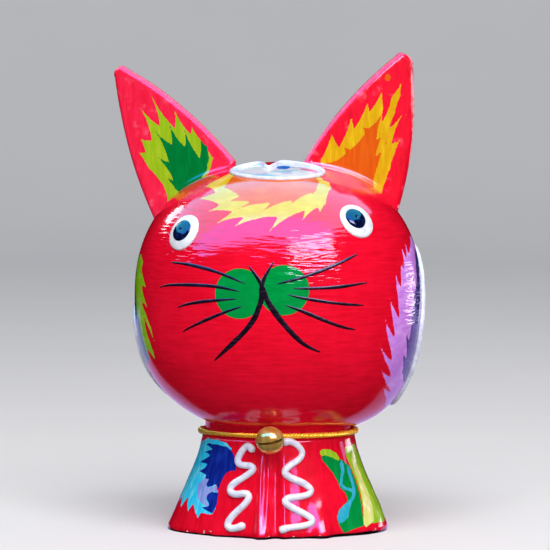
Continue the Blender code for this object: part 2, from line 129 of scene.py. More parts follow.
def faceLists(quads, fans):
    # Every face's corners in one row, and where each face starts in it
    corners = np.concatenate([quads.ravel(), fans.ravel()])
    starts = np.concatenate([np.arange(len(quads)) * 4, len(quads) * 4 + np.arange(len(fans)) * 3])
    return corners, starts


def skin(name, rings, ends, material, marks=None):
    # A closed skin over rings of points: two end points cap it, and without them it joins up as a loop
    count, around = rings.shape[:2]
    quads, fans = ringFaces(count, around, ends is None)
    points = rings.reshape(-1, 3)
    if ends is not None:
        points = np.concatenate([points, np.asarray(ends, float)])
        marks = {mark: np.append(np.ravel(values), [np.mean(values[0]), np.mean(values[-1])])
                 for mark, values in (marks or {}).items()}
    triangles = np.concatenate([quads[:, :3], quads[:, [0, 2, 3]], fans])
    first, second, third = points[triangles.T]
    if np.sum(np.cross(second, third) * first) < 0:  # inside out, so every face is turned round
        quads, fans = quads[:, ::-1], fans[:, ::-1]
    return addPiece(name, points, *faceLists(quads, fans), material, marks)


def alongLine(points, closed):
    # Unit tangents of a line of points, and the distance run at each
    if closed:
        ahead = np.roll(points, -1, axis=0) - np.roll(points, 1, axis=0)
    else:
        ahead = np.gradient(points, axis=0)
    steps = np.linalg.norm(np.diff(points, axis=0), axis=1)
    return unit(ahead), np.concatenate([[0.0], np.cumsum(steps)])


def acrossLine(line, normals, closed):
    # The ways along a line, sideways to it and up from it, and the distance run
    tangents, run = alongLine(line, closed)
    sideways = unit(np.cross(tangents, normals))
    return tangents, sideways, np.cross(sideways, tangents), run


def roundRings(line, sideways, upwards, radius, sides, wider=1.0):
    # A ring at each point of the line: line + r (w cos a sideways + sin a upwards)
    angle = roundAngles(sides)[None, :, None]
    turned = sideways[:, None] * (np.cos(angle) * wider) + upwards[:, None] * np.sin(angle)
    return line[:, None] + radius[:, None, None] * turned


def resample(points, spacing, closed=False):
    # The same line, straight from point to point, with evenly spaced points
    if closed:
        points = np.concatenate([points, points[:1]])
    run = alongLine(points, False)[1]
    count = max(int(round(run[-1] / spacing)), 4)
    at = np.linspace(0.0, run[-1], count + 1)
    if closed:
        at = at[:-1]
    return np.stack([np.interp(at, run, points[:, axis]) for axis in range(points.shape[1])], -1)


def smoothLine(points, rounds=3):
    # Corner cutting: each round puts points a quarter and three quarters along every run
    for _ in range(rounds):
        quarter = points[:-1] * 0.75 + points[1:] * 0.25
        threeQuarter = points[:-1] * 0.25 + points[1:] * 0.75
        middle = np.stack([quarter, threeQuarter], 1).reshape(-1, points.shape[1])
        points = np.concatenate([points[:1], middle, points[-1:]])
    return points


# Flat outlines of brushed colour

def bowedOutline(outline, bow, pieces=5):
    # Each run between two corners bends towards the inside by the bow, as a share of its length
    corners = np.asarray(outline, float)
    after = np.roll(corners, -1, axis=0)
    run = after - corners
    area = np.sum(corners[:, 0] * after[:, 1] - corners[:, 1] * after[:, 0])
    inward = np.stack([-run[:, 1], run[:, 0]], -1) * np.sign(area)
    share = np.arange(pieces) / pieces
    bend = 4 * bow * share * (1 - share)
    points = corners[:, None] + run[:, None] * share[None, :, None] + inward[:, None] * bend[None, :, None]
    return points.reshape(-1, 2)


def insideDistance(u, v, outline):
    # Distance to the nearest edge of the outline, positive inside it, held within the marks' reach
    flatU, flatV = np.ravel(u), np.ravel(v)
    nearest = np.full(flatU.shape, np.inf)
    inside = np.zeros(flatU.shape, bool)
    for (au, av), (bu, bv) in zip(outline, np.roll(outline, -1, axis=0)):
        du, dv = bu - au, bv - av
        share = np.clip(((flatU - au) * du + (flatV - av) * dv) / max(du * du + dv * dv, 1e-9), 0, 1)
        nearest = np.minimum(nearest, (flatU - au - share * du) ** 2 + (flatV - av - share * dv) ** 2)
        if bv != av:
            crosses = (flatV < av) != (flatV < bv)
            inside ^= crosses & (flatU < au + (flatV - av) / (bv - av) * du)
    distance = np.minimum(np.sqrt(nearest), markReach)
    return np.where(inside, distance, -distance).reshape(np.shape(u))


# Materials: a wire is a socket's value, and sums written on wires become nodes

class Wire:
    def __init__(self, finish, socket):
        self.finish = finish
        self.socket = socket

    def math(self, operation, first, second):
        return self.finish.node("ShaderNodeMath", {"operation": operation}, {0: first, 1: second})

    def __add__(self, other):
        return self.math("ADD", self, other)

    def __radd__(self, other):
        return self.math("ADD", other, self)

    def __sub__(self, other):
        return self.math("SUBTRACT", self, other)

    def __rsub__(self, other):
        return self.math("SUBTRACT", other, self)

    def __mul__(self, other):
        return self.math("MULTIPLY", self, other)

    def __rmul__(self, other):
        return self.math("MULTIPLY", other, self)

    def rise(self, low, high):
        # 0 below low, 1 above high, smooth between
        sockets = {"Value": self, "From Min": low, "From Max": high}
        return self.finish.node("ShaderNodeMapRange", {"interpolation_type": "SMOOTHSTEP"}, sockets)


class Finish:
    def __init__(self, name):
        self.material = bpy.data.materials.new(name)
        self.material.use_nodes = True
        self.tree = self.material.node_tree
        self.tree.nodes.clear()
        self.place = self.node("ShaderNodeTexCoord", output="Object")
        self.place = self.stretched(*[1 / metresPerMm] * 3)  # in millimetres

    def node(self, kind, settings=None, sockets=None, output=0):
        # Any node: its type, its settings, and what its sockets are linked or set to
        made = self.tree.nodes.new(kind)
        for setting, value in (settings or {}).items():
            setattr(made, setting, value)
        for socket, value in (sockets or {}).items():
            if isinstance(value, Wire):
                self.tree.links.new(value.socket, made.inputs[socket])
            else:
                made.inputs[socket].default_value = value
        return Wire(self, made.outputs[output]) if made.outputs else made

    def mark(self, name):
        # What the mesh carries at each point under that name
        return self.node("ShaderNodeAttribute", {"attribute_name": name}, output="Fac")

    def stretched(self, x, y, z):
        # The place times a factor along each axis
        return self.node("ShaderNodeVectorMath", {"operation": "MULTIPLY"}, {0: self.place, 1: (x, y, z)})

    def noise(self, stretch, detail=2.0, roughness=0.5):
        # Finer where the stretch is greater, one number for all ways or three for x, y and z
        x, y, z = np.broadcast_to(stretch, 3).tolist()
        sockets = {"Vector": self.stretched(x, y, z), "Scale": 1.0, "Detail": detail, "Roughness": roughness}
        return self.node("ShaderNodeTexNoise", None, sockets)

    def over(self, under, colour, mask):
        # The colour laid over what is under it, as far as the mask says
        return self.node("ShaderNodeMix", {"data_type": "RGBA"}, {0: mask, 6: under, 7: colour}, output=2)

    def bump(self, height, depthMm, under=None):
        # The normal leant by the slope of height times depth, on top of another bump
        sockets = {"Height": height, "Distance": depthMm * metresPerMm, "Strength": 1.0}
        if under is not None:
            sockets["Normal"] = under
        return self.node("ShaderNodeBump", None, sockets)

    def done(self, sockets):
        # The shader that the sockets make, as a finished material
        shader = self.node("ShaderNodeBsdfPrincipled", None, sockets)
        self.node("ShaderNodeOutputMaterial", None, {"Surface": shader})
        return self.material


def shade(red, green, blue):
    # A screen colour, 0 to 255, as the linear one that a shader takes
    screen = np.array([red, green, blue]) / 255.0
    linear = np.where(screen <= 0.04045, screen / 12.92, ((screen + 0.055) / 1.055) ** 2.4)
    return (*linear.tolist(), 1.0)


# The head: its surface, and flat millimetres laid over it

head = {
    "centre": (0.0, 0.0, 65.0),
    "radius": 41.1,
    "rise": 39.0,            # centre to top
    "drop": 38.0,            # centre to bottom
    "fullness": 2.44,        # 2 is a ball, more is squarer
    "roll": 3.0,             # degrees by which the face and ears lean, the cat's left side high
    "columns": 400,
    "rows": 232,
    "closerInFront": 0.36,   # share by which the columns stand closer in front
    "waves": [(3.0, 0.14), (11.0, 0.0308)],  # the hand's unevenness: tightness and size
    "seed": 11,
    "hollows": [((-85.0, -52.0), 28.0, 1.15), ((96.0, -47.0), 20.0, -1.1)],  # aim, spread in degrees, depth
    "crownRise": {"halfWidth": 15.0, "behind": 1.0, "halfDepth": 9.0, "height": 1.2},  # a swelling on top
}
# The matrix turns places in the upright face's frame to where they are on the leaning head
rollAngle = np.radians(head["roll"])
rollMatrix = np.array([[np.cos(rollAngle), 0.0, -np.sin(rollAngle)],
                       [0.0, 1.0, 0.0],
                       [np.sin(rollAngle), 0.0, np.cos(rollAngle)]])
headCentre = np.array(head["centre"])
flatSize = 40.0  # the ball on which the head's splashes are drawn


def headHeights(places):
    # Half the form's height on the side of its middle that each place is on
    return np.where(places[..., 2] > 0, head["rise"], head["drop"])


def headForm(places):
    # 1 on the surface: the n-th root of (level / radius)^n + (height / half height)^n
    level = np.hypot(places[..., 0], places[..., 1])
    power = head["fullness"]
    tall = (np.abs(places[..., 2]) / headHeights(places)) ** power
    return ((level / head["radius"]) ** power + tall) ** (1 / power)


def headSurface(ways, lift=0.0):
    # The form's point along each way, moved out along its gradient by the lift and the hand's unevenness
    power = head["fullness"]
    place = ways / headForm(ways)[..., None]
    level = np.maximum(np.hypot(place[..., 0], place[..., 1]), 1e-9)
    tall = headHeights(place)
    across = (level / head["radius"]) ** (power - 1) / head["radius"]
    steep = np.sign(place[..., 2]) * (np.abs(place[..., 2]) / tall) ** (power - 1) / tall
    outwards = place[..., :2] / level[..., None] * across[..., None]
    normal = unit(np.concatenate([outwards, steep[..., None]], -1))
    uneven = sum(handMade(ways, head["seed"] + step, *wave) for step, wave in enumerate(head["waves"]))
    for aim, spread, depth in head["hollows"]:
        aside = np.degrees(np.arccos(np.clip(ways @ way(*aim), -1, 1)))
        uneven = uneven - depth * bellCurve(aside, spread)
    swollen = head["crownRise"]
    crown = bellCurve(place[..., 0], swollen["halfWidth"])
    crown = crown * bellCurve(place[..., 1] - swollen["behind"], swollen["halfDepth"])
    uneven = uneven + swollen["height"] * crown * (place[..., 2] > 0)
    return headCentre + place + normal * (np.asarray(lift) + uneven)[..., None], normal


def patchOn(ways, aim):
    # Flat millimetres round the aim, in the face's own upright frame
    middle = way(*aim)
    right = way(aim[0] + 90.0, 0.0)
    return laidFlat(ways, middle, right, np.cross(right, -middle), flatSize)


# Outlined hearts, piped in thick white on the crown and on both cheeks

cheekHeart = {"upright": (0.0, 0.0, 1.0), "dent": 0.33, "dentWidth": 0.3, "dentShift": 0.0,
              "dabStrength": 0.6}
hearts = {  # aims and turns in degrees, sizes, beads and lifts in mm, stroke noises along x, y and z
    "crown": {"aim": (11.8, 71.6), "halfWidth": 14.9, "halfHeight": 9.0, "below": 1.0, "turn": 0.0,
              "upright": (0.0, 1.0, 0.0), "dent": 0.85, "dentWidth": 0.12, "dentShift": -2.4, "bead": 0.62,
              "lift": 0.25, "cyanStrokes": (0.12, 0.5, 0.3), "lilacStrokes": (0.3, 0.55, 0.2),
              "dabStrength": 0.85},
    "leftCheek": {**cheekHeart, "aim": (105.6, -19.2), "halfWidth": 18.3, "halfHeight": 31.9, "below": 0.6,
                  "turn": -17.9, "bead": 0.85, "lift": 0.25, "cyanStrokes": (0.1, 0.2, 0.05),
                  "lilacStrokes": (0.1, 0.16, 0.06)},
    "rightCheek": {**cheekHeart, "aim": (-102.4, -23.0), "halfWidth": 21.4, "halfHeight": 25.0, "below": 0.48,
                   "turn": 51.3, "bead": 0.68, "lift": 0.1, "cyanStrokes": (0.1, 0.06, 0.2),
                   "lilacStrokes": (0.1, 0.05, 0.16)},
}
heartShape = {"drawnIn": 0.28, "points": 180, "maskPoints": 72}  # how much narrower at its foot, corners


def heartFrame(heart):
    # The way to the heart's middle, the ways right and up across it, and the head's size there
    towards = rollMatrix @ way(*heart["aim"])
    upright = np.array(heart["upright"])
    up = unit(upright - towards * (upright @ towards))
    return towards, np.cross(up, towards), up, 1.0 / headForm(towards)


def heartOutline(heart, count):
    # A ring x = w sin t, y = h cos t, its lower half drawn in and shortened, its top dented, then turned
    t = roundAngles(count) + np.pi / count
    x = heart["halfWidth"] * np.sin(t) * (1 - heartShape["drawnIn"] * (1 - np.cos(t)) / 2)
    dent = bellCurve(x - heart["dentShift"], heart["dentWidth"] * heart["halfWidth"]) * heart["dent"]
    y = heart["halfHeight"] * np.where(np.cos(t) > 0, np.cos(t) - dent, np.cos(t) * heart["below"])
    turn = np.radians(heart["turn"])
    return np.stack([x * np.cos(turn) - y * np.sin(turn), x * np.sin(turn) + y * np.cos(turn)], -1)


def heartWays(heart, flat):
    # The ways to flat places on the heart: towards cos a + sideways sin a, with a = distance / size
    towards, across, up, size = heartFrame(heart)
    angle = np.linalg.norm(flat, axis=-1, keepdims=True) / size
    sideways = unit(flat[..., :1] * across + flat[..., 1:] * up)
    return towards * np.cos(angle) + sideways * np.sin(angle)


def heartPlace(heart, ways):
    # Flat millimetres right and up from the heart's middle
    return laidFlat(ways, *heartFrame(heart))


# Spots in the crown heart, by right, up, half width and half height
crownSpots = {"blueSpot": (1.6, 3.2, 2.0, 2.4), "redSpot": (9.0, 2.2, 2.6, 1.3)}


# Brushed splashes on the head. Corners are millimetres right and up from the aim, tips and valleys in turn.

headSplashes = {
    "yellowFlame": {"aim": (0.0, 50.0), "bow": 0.05, "corners": [
        (-17.1, 8.6), (-13.3, 2.9), (-18.6, 2.8), (-11.7, -3.1), (-15.9, -4.0), (-8.1, -6.4),
        (-13.9, -9.4), (-4.9, -8.8), (-9.5, -12.3), (-1.3, -9.7), (3.9, -9.4), (0.7, -15.0), (10.9, -6.6),
        (9.8, -11.1), (14.3, -4.6), (15.0, -6.5), (16.5, -2.4), (18.1, 5.4), (17.6, 8.5), (15.8, 9.3),
        (14.0, 18.0), (-9.0, 18.0)]},
    "orangeFlame": {"aim": (0.0, 50.0), "bow": 0.04, "corners": [
        (-11.2, 4.5), (-6.5, -1.2), (-10.4, -2.4), (-3.4, -3.8), (-7.6, -6.0), (1.9, -4.6), (-0.8, -8.0),
        (7.6, -3.3), (6.3, -6.0), (12.7, 0.8), (12.0, -2.7), (13.9, 2.5), (14.7, 7.0), (13.0, 18.0),
        (-9.0, 18.0)]},
    "lilacSpray": {"aim": (80.0, -5.0), "bow": 0.02, "corners": [
        (2.6, 20.3), (-5.0, 15.4), (-4.8, 18.9), (-7.2, 14.1), (-8.6, 18.7), (-8.8, 15.0), (-9.9, 11.4),
        (-11.1, 13.3), (-11.9, 10.9), (-12.8, 6.7), (-13.8, 8.3), (-14.6, 11.0), (-14.9, 6.8),
        (-14.2, 1.2), (-13.7, -1.9), (-15.1, -0.6), (-17.2, 2.3), (-18.7, 5.8), (-17.4, 0.1),
        (-16.5, -3.3), (-15.1, -7.2), (-16.9, -5.8), (-18.9, -3.5), (-20.2, -1.0), (-19.3, -4.8),
        (-17.9, -7.9), (-14.1, -13.5), (-16.5, -12.7), (-19.5, -10.4), (-21.9, -7.9), (-19.9, -10.8),
        (-17.5, -13.3), (-11.5, -18.3), (-13.9, -17.9), (-16.2, -16.9), (-18.7, -15.4), (-15.8, -17.9),
        (-11.8, -20.7), (-5.4, -23.5), (-9.0, -22.8), (-12.9, -21.4), (-9.5, -23.7), (-5.2, -25.9),
        (-2.1, -27.9), (12.0, -32.0), (24.0, -10.0), (14.0, 18.0)]},
    "violetSpray": {"aim": (80.0, -5.0), "bow": 0.02, "corners": [
        (2.7, 17.1), (-0.8, 11.5), (-1.3, 8.5), (-3.0, 6.1), (-5.0, 3.8), (-5.7, 1.1), (-6.2, -1.3),
        (-6.4, -5.3), (-7.0, -8.6), (-8.6, -6.4), (-9.6, -3.9), (-9.0, -7.3), (-6.0, -13.5),
        (-7.8, -12.3), (-9.7, -10.7), (-8.1, -13.2), (-6.0, -16.2), (-6.0, -16.9), (-0.8, -20.3),
        (14.0, -22.0), (20.0, 4.0)]},
    "limeSpray": {"aim": (-80.0, -5.0), "bow": 0.02, "corners": [
        (4.4, 19.2), (8.7, 17.2), (8.5, 15.2), (11.2, 12.7), (13.9, 10.1), (11.0, 10.8), (10.3, 10.2),
        (12.4, 7.5), (15.8, 3.7), (12.0, 6.1), (10.7, 5.9), (13.9, 2.6), (16.5, -1.2), (17.4, -5.7),
        (15.1, -1.2), (12.1, 2.1), (12.8, -1.2), (14.4, -5.2), (15.1, -8.0), (14.6, -10.3), (12.8, -8.0),
        (10.5, -6.7), (10.8, -9.2), (11.1, -10.8), (9.2, -8.3), (2.0, -14.0), (-12.0, -10.0),
        (-16.0, 8.0), (-8.0, 18.0)]},
    "tealSpray": {"aim": (-80.0, -5.0), "bow": 0.02, "corners": [
        (-2.2, 18.9), (0.4, 15.6), (1.7, 10.8), (4.4, 6.3), (5.0, 3.3), (8.0, 1.2), (8.4, -1.2),
        (9.4, -4.3), (9.9, -7.4), (10.5, -9.9), (-2.0, -14.0), (-12.0, -8.0), (-12.0, 10.0)]},
}
# Where the varnish was brushed again, by right, up and the two spreads
brushedPatches = [(11.0, 13.0, 17.0, 12.0), (-24.0, 17.0, 10.0, 9.0), (38.0, 3.0, 6.0, 13.0)]
nose = {"radius": 6.9, "centres": [(-7.0, 4.9), (5.3, 5.3)]}  # right and up in the face's own upright plane


def headMarks(ways):
    # Every painted shape on the head as a distance in from its edge, and the brushed patches from 0 to 1
    faceWays = ways @ rollMatrix
    facePlaces = (ways / headForm(ways)[..., None]) @ rollMatrix
    x, y, z = np.moveaxis(facePlaces, -1, 0)
    marks = {}
    for name, splash in headSplashes.items():
        outline = bowedOutline(splash["corners"], splash["bow"])
        marks[name] = insideDistance(*patchOn(faceWays, splash["aim"]), outline)
    for name, heart in hearts.items():
        outline = heartOutline(heart, heartShape["maskPoints"])
        marks[name + "Ground"] = insideDistance(*heartPlace(heart, ways), outline)
    u, v = heartPlace(hearts["crown"], ways)
    for name, (right, upwards, halfWidth, halfHeight) in crownSpots.items():
        share = np.hypot((u - right) / halfWidth, (v - upwards) / halfHeight)
        marks[name] = np.clip((1 - share) * halfWidth, -markReach, markReach)
    discs = [nose["radius"] - np.hypot(x - right, z - upwards) for right, upwards in nose["centres"]]
    marks["noseDiscs"] = np.where(y < 0, np.clip(np.maximum(*discs), -markReach, markReach), -markReach)
    patches = [bellCurve(x - right, spreadAcross) * bellCurve(z - upwards, spreadUp)
               for right, upwards, spreadAcross, spreadUp in brushedPatches]
    marks["brushedVarnish"] = np.max(patches, axis=0) * (y < 0)
    return marks


def makeHead(material):
    # The head's surface over a grid of azimuth and elevation, its columns closer together in front
    turn = roundAngles(head["columns"]) - np.pi
    azimuth = np.degrees(turn - head["closerInFront"] * np.sin(turn))
    elevation = np.linspace(-90.0, 90.0, head["rows"] + 2)
    ways = way(azimuth[None, :], elevation[1:-1, None])
    rings = headSurface(ways)[0]
    ends = headSurface(way(0.0, elevation[[0, -1]]))[0]
    return skin("head", rings, ends, material, headMarks(ways))


# The skirt: round at the neck, flared and drawn to a blunt point in front at the foot

skirt = {
    "neckRadius": 21.0, "neckTop": 36.0, "neckStep": 0.8, "shoulder": 26.9, "shoulderRadius": 21.9,
    "footHalfWidth": 31.6, "footHalfDepth": 26.0, "footFullness": 1.55, "neckFullness": 2.0,
    "flarePower": 0.93, "fadeIn": 4.0, "furrowAngle": 3.0, "furrowDepth": 1.3, "furrowWidths": (5.0, 3.0),
    # Ridges by angle, width and height, and lips that turn the foot out, by angle, spread, reach and height
    "ridges": [(-7.6, 1.6, 0.5), (-2.0, 1.7, 0.45), (8.6, 2.6, 0.5), (-15.0, 3.0, 0.15), (19.0, 4.0, 0.2)],
    "lips": [(-88.0, 35.0, 0.9, 7.0), (0.0, 60.0, 0.5, 10.0), (-5.5, 4.5, 2.2, 16.0), (33.0, 6.5, 2.3, 16.0),
             (-36.0, 5.0, 0.9, 7.0)],
    "columns": 420, "rows": 92, "soleRows": 14, "closerInFront": 0.3,
    "waves": [(4.0, 0.12), (14.0, 0.048)], "waveSize": 30.0, "seed": 21,  # the hand's unevenness
    "soleStep": 0.5,  # how far the dark sole band stands in from the painted edge
    "soleHeight": 1.3, "edgeHeight": 0.5, "edgeLeast": 0.08, "edgeBand": 0.3, "bandStep": 0.25,
    "soleMiddle": 0.06, "underHead": 0.5, "edgeInset": 0.1,  # shares of the radius, and of the sole's step
    "edgeWaves": [(31, 5.0, 0.16), (32, 17.0, 0.12)],  # the torn lower edge, by seed, tightness and size
}
mmPerDegree = 0.44  # round the skirt, at its middle height


def skirtRadius(angle, height):
    # Half width and half depth grow from shoulder to foot, joined as a superellipse, less a furrow in front
    fall = np.clip(height / skirt["shoulder"], 0, 1) ** skirt["flarePower"]
    flare = (1 - fall) / 2 + (1 + np.cos(np.pi * fall)) / 4
    halfWidth = skirt["shoulderRadius"] + (skirt["footHalfWidth"] - skirt["shoulderRadius"]) * flare
    halfDepth = skirt["shoulderRadius"] + (skirt["footHalfDepth"] - skirt["shoulderRadius"]) * flare
    drawn = skirt["footFullness"] - skirt["neckFullness"]
    fullness = skirt["neckFullness"] + drawn * flare * np.maximum(np.cos(angle), 0)
    side = (np.abs(np.sin(angle)) / halfWidth) ** fullness
    front = (np.abs(np.cos(angle)) / halfDepth) ** fullness
    radius = (side + front) ** (-1 / fullness)
    degrees = wrappedDegrees(angle)
    fade = np.minimum(flare * skirt["fadeIn"], 1)
    width = np.where(degrees < skirt["furrowAngle"], *skirt["furrowWidths"])
    radius = radius - skirt["furrowDepth"] * fade * bellCurve(degrees - skirt["furrowAngle"], width)
    for ridgeAngle, ridgeWidth, ridgeHeight in skirt["ridges"]:
        radius = radius + ridgeHeight * fade * bellCurve(degrees - ridgeAngle, ridgeWidth)
    for lipAngle, lipSpread, lipReach, lipHeight in skirt["lips"]:
        low = np.clip(1 - height / lipHeight, 0, 1)
        radius = radius + lipReach * bellCurve(degrees - lipAngle, lipSpread) * low * low
    # Above the shoulder it steps in to the neck
    step = np.clip((height - skirt["shoulder"]) / skirt["neckStep"], 0, 1)
    return radius + (skirt["neckRadius"] - skirt["shoulderRadius"]) * step * step * (3 - 2 * step)


def skirtSurface(angle, height, lift=0.0):
    # The point at an angle from the front towards the cat's left, and a height, moved out along the normal
    def at(a, h):
        # (r sin a, -r cos a, h)
        reach = skirtRadius(a, h)
        return np.stack([np.sin(a) * reach, -np.cos(a) * reach, h], -1)

    sideStep = 0.004  # radians, for the slopes
    upStep = 0.1  # millimetres
    place = at(angle, height)
    onwards = at(angle + sideStep, height) - at(angle - sideStep, height)
    upward = at(angle, height + upStep) - at(angle, height - upStep)
    normal = unit(np.cross(onwards, upward))
    spots = place / skirt["waveSize"]
    uneven = sum(handMade(spots, skirt["seed"] + step, *wave) for step, wave in enumerate(skirt["waves"]))
    return place + normal * (np.asarray(lift) + uneven)[..., None], normal


skirtSplashes = {  # corners are degrees round from the front and millimetres up
    "cyanSplash": {"bow": 0.03, "corners": [
        (-95.0, 24.0), (-74.9, 25.6), (-61.8, 26.9), (-46.7, 26.8), (-36.8, 26.2), (-31.8, 24.7),
        (-35.3, 20.9), (-43.8, 16.3), (-39.8, 12.1), (-39.9, 7.5), (-42.0, 5.9), (-46.4, 6.0),
        (-51.0, 6.1), (-52.6, 4.6), (-55.8, 6.0), (-59.5, 8.3), (-63.0, 6.0), (-65.7, 8.0), (-67.1, 10.0),
        (-72.6, 6.5), (-75.8, 9.7), (-80.0, 8.0), (-84.0, 12.5), (-92.0, 9.5), (-98.0, 14.0)]},
    "blueUpper": {"bow": 0.03, "corners": [
        (-66.5, 24.9), (-58.5, 25.5), (-46.3, 25.5), (-36.6, 25.1), (-32.1, 24.1), (-29.0, 22.8),
        (-26.3, 19.9), (-26.7, 18.5), (-30.7, 18.5), (-34.3, 17.8), (-37.1, 16.1), (-38.4, 14.6),
        (-38.9, 12.8), (-42.3, 14.4), (-45.5, 13.8), (-49.4, 13.4), (-52.8, 14.1), (-54.6, 15.5),
        (-54.2, 16.6), (-65.4, 17.4), (-57.7, 18.4), (-55.4, 19.7), (-72.4, 19.4), (-60.8, 20.9),
        (-54.1, 22.2), (-66.9, 22.8), (-56.9, 23.6), (-52.4, 24.0)]},
    "blueLower": {"bow": 0.03, "corners": [
        (-48.7, 11.4), (-44.7, 12.3), (-38.8, 12.0), (-38.9, 9.3), (-40.6, 7.1), (-41.9, 6.2),
        (-45.9, 6.8), (-56.1, 8.1), (-49.1, 7.8), (-45.2, 8.4), (-48.3, 10.0)]},
    "paleDab": {"bow": 0.03, "corners": [
        (-58.9, 11.8), (-60.0, 13.9), (-55.5, 15.8), (-50.0, 15.7), (-51.7, 14.2), (-49.3, 13.2),
        (-42.6, 14.0), (-39.0, 12.4), (-44.7, 12.3), (-48.2, 11.4), (-48.8, 10.0), (-45.7, 8.5),
        (-46.7, 7.9), (-51.0, 8.6), (-55.8, 9.7)]},
    "leafGreen": {"bow": 0.0, "corners": [
        (37.3, 22.0), (39.2, 23.2), (45.3, 22.8), (52.3, 21.5), (55.6, 21.3), (61.2, 20.3), (64.5, 18.5),
        (66.1, 15.9), (66.1, 13.5), (64.9, 9.8), (63.3, 6.1), (62.0, 2.5), (55.6, 2.0), (50.9, 1.4),
        (47.5, 1.3), (45.1, 3.5), (44.3, 5.5), (46.6, 7.6), (53.0, 9.4), (54.1, 10.3), (53.6, 12.0),
        (49.9, 13.4), (48.8, 15.3), (46.1, 17.5), (41.8, 19.8)]},
    "limeEdge": {"bow": 0.0, "corners": [
        (36.5, 24.0), (39.6, 24.6), (46.2, 24.3), (51.3, 23.2), (54.4, 21.8), (53.1, 20.9), (47.2, 22.0),
        (41.4, 22.8), (38.4, 22.6), (37.3, 23.0)]},
    "leafTeal": {"bow": 0.0, "corners": [
        (55.6, 21.3), (57.6, 20.0), (57.0, 18.1), (54.0, 16.4), (52.5, 14.5), (55.5, 13.5), (60.5, 12.9),
        (60.7, 14.9), (59.6, 17.4), (60.7, 19.9), (63.6, 18.8), (64.0, 16.0), (63.1, 12.3), (60.5, 10.6),
        (57.0, 9.2), (54.2, 7.4), (52.2, 5.3), (48.1, 3.9), (45.4, 3.8), (44.3, 5.5), (46.4, 7.4),
        (51.9, 9.0), (57.2, 10.5), (59.4, 11.9), (55.8, 12.6), (51.9, 13.2), (49.6, 14.5), (51.7, 16.4),
        (53.6, 18.2), (53.1, 20.1)]},
    "leafLime": {"bow": 0.02, "corners": [
        (62.0, 24.5), (62.4, 21.7), (65.3, 18.5), (66.7, 15.9), (66.9, 13.1), (65.6, 9.8), (63.8, 6.1),
        (62.4, 2.9), (70.4, 2.9), (81.9, 2.6), (92.0, 3.6), (98.0, 6.0), (94.0, 8.6), (104.0, 10.5),
        (96.0, 13.0), (104.0, 16.5), (94.0, 18.0), (98.0, 22.5), (87.0, 22.0), (82.0, 25.0), (70.5, 24.6)]},
    # Painted sheen: the sky's pink reflection along the skirt's side below the neck
    "paintedSheenStreak": {"bow": 0.0, "corners": [
        (56.6, 26.2), (60.6, 26.2), (61.8, 23.0), (61.4, 20.4), (60.0, 19.2), (58.8, 21.4)]},
    # A painted highlight: the sky's sheen on the lime at the skirt's side, as pale yellow strokes
    "paintedLimeHighlight": {"bow": 0.0, "corners": [
        (75.0, 23.8), (75.2, 17.6), (75.4, 12.0), (74.6, 8.0), (71.0, 3.6), (63.5, 2.1), (61.6, 3.1),
        (64.2, 6.1), (67.0, 10.3), (69.3, 15.8), (68.3, 20.8)]},
}


def makeSkirt(material):
    # Rows run from the middle of the flat sole to its edge, up the flare and the neck, and in under the head
    soleRows = skirt["soleRows"]
    rise = np.linspace(skirt["soleHeight"] + skirt["bandStep"], skirt["neckTop"], skirt["rows"])
    height = np.concatenate([np.zeros(soleRows), [skirt["bandStep"], skirt["soleHeight"]], rise])
    turn = roundAngles(skirt["columns"]) - np.pi
    angle = turn - skirt["closerInFront"] * np.sin(turn)
    angles, heights = np.meshgrid(angle, height)
    places = skirtSurface(angles, heights)[0]
    level = np.hypot(places[..., 0], places[..., 1])
    share = np.ones(len(height))
    share[:soleRows] = np.linspace(skirt["soleMiddle"], 1.0, soleRows)
    share[-1] = skirt["underHead"]
    inset = np.zeros(len(height))
    inset[:soleRows + 1] = skirt["soleStep"]
    inset[soleRows + 1] = skirt["soleStep"] * skirt["edgeInset"]
    places[..., :2] *= ((level - inset[:, None]) / level * share[:, None])[..., None]
    circle = np.stack([np.sin(angle), np.cos(angle), np.zeros_like(angle)], -1)
    torn = skirt["edgeHeight"] + sum(handMade(circle, *wave) for wave in skirt["edgeWaves"])
    places[:soleRows, :, 2] = 0.0
    places[soleRows, :, 2] = np.maximum(torn, skirt["edgeLeast"])
    places[soleRows + 1, :, 2] = places[soleRows, :, 2] + skirt["edgeBand"]
    marks = {}
    for name, splash in skirtSplashes.items():
        outline = bowedOutline(np.array(splash["corners"]) * (mmPerDegree, 1.0), splash["bow"])
        marks[name] = insideDistance(np.degrees(angles) * mmPerDegree, heights, outline)
    marks["soleShare"] = np.zeros_like(heights)
    marks["soleShare"][:soleRows + 1] = 1.0
    return skin("skirt", places, [(0.0, 0.0, 0.0), (0.0, 0.0, skirt["neckTop"])], material, marks)


# The ears: flat plates between two shallow arcs, in planes turned out from the face

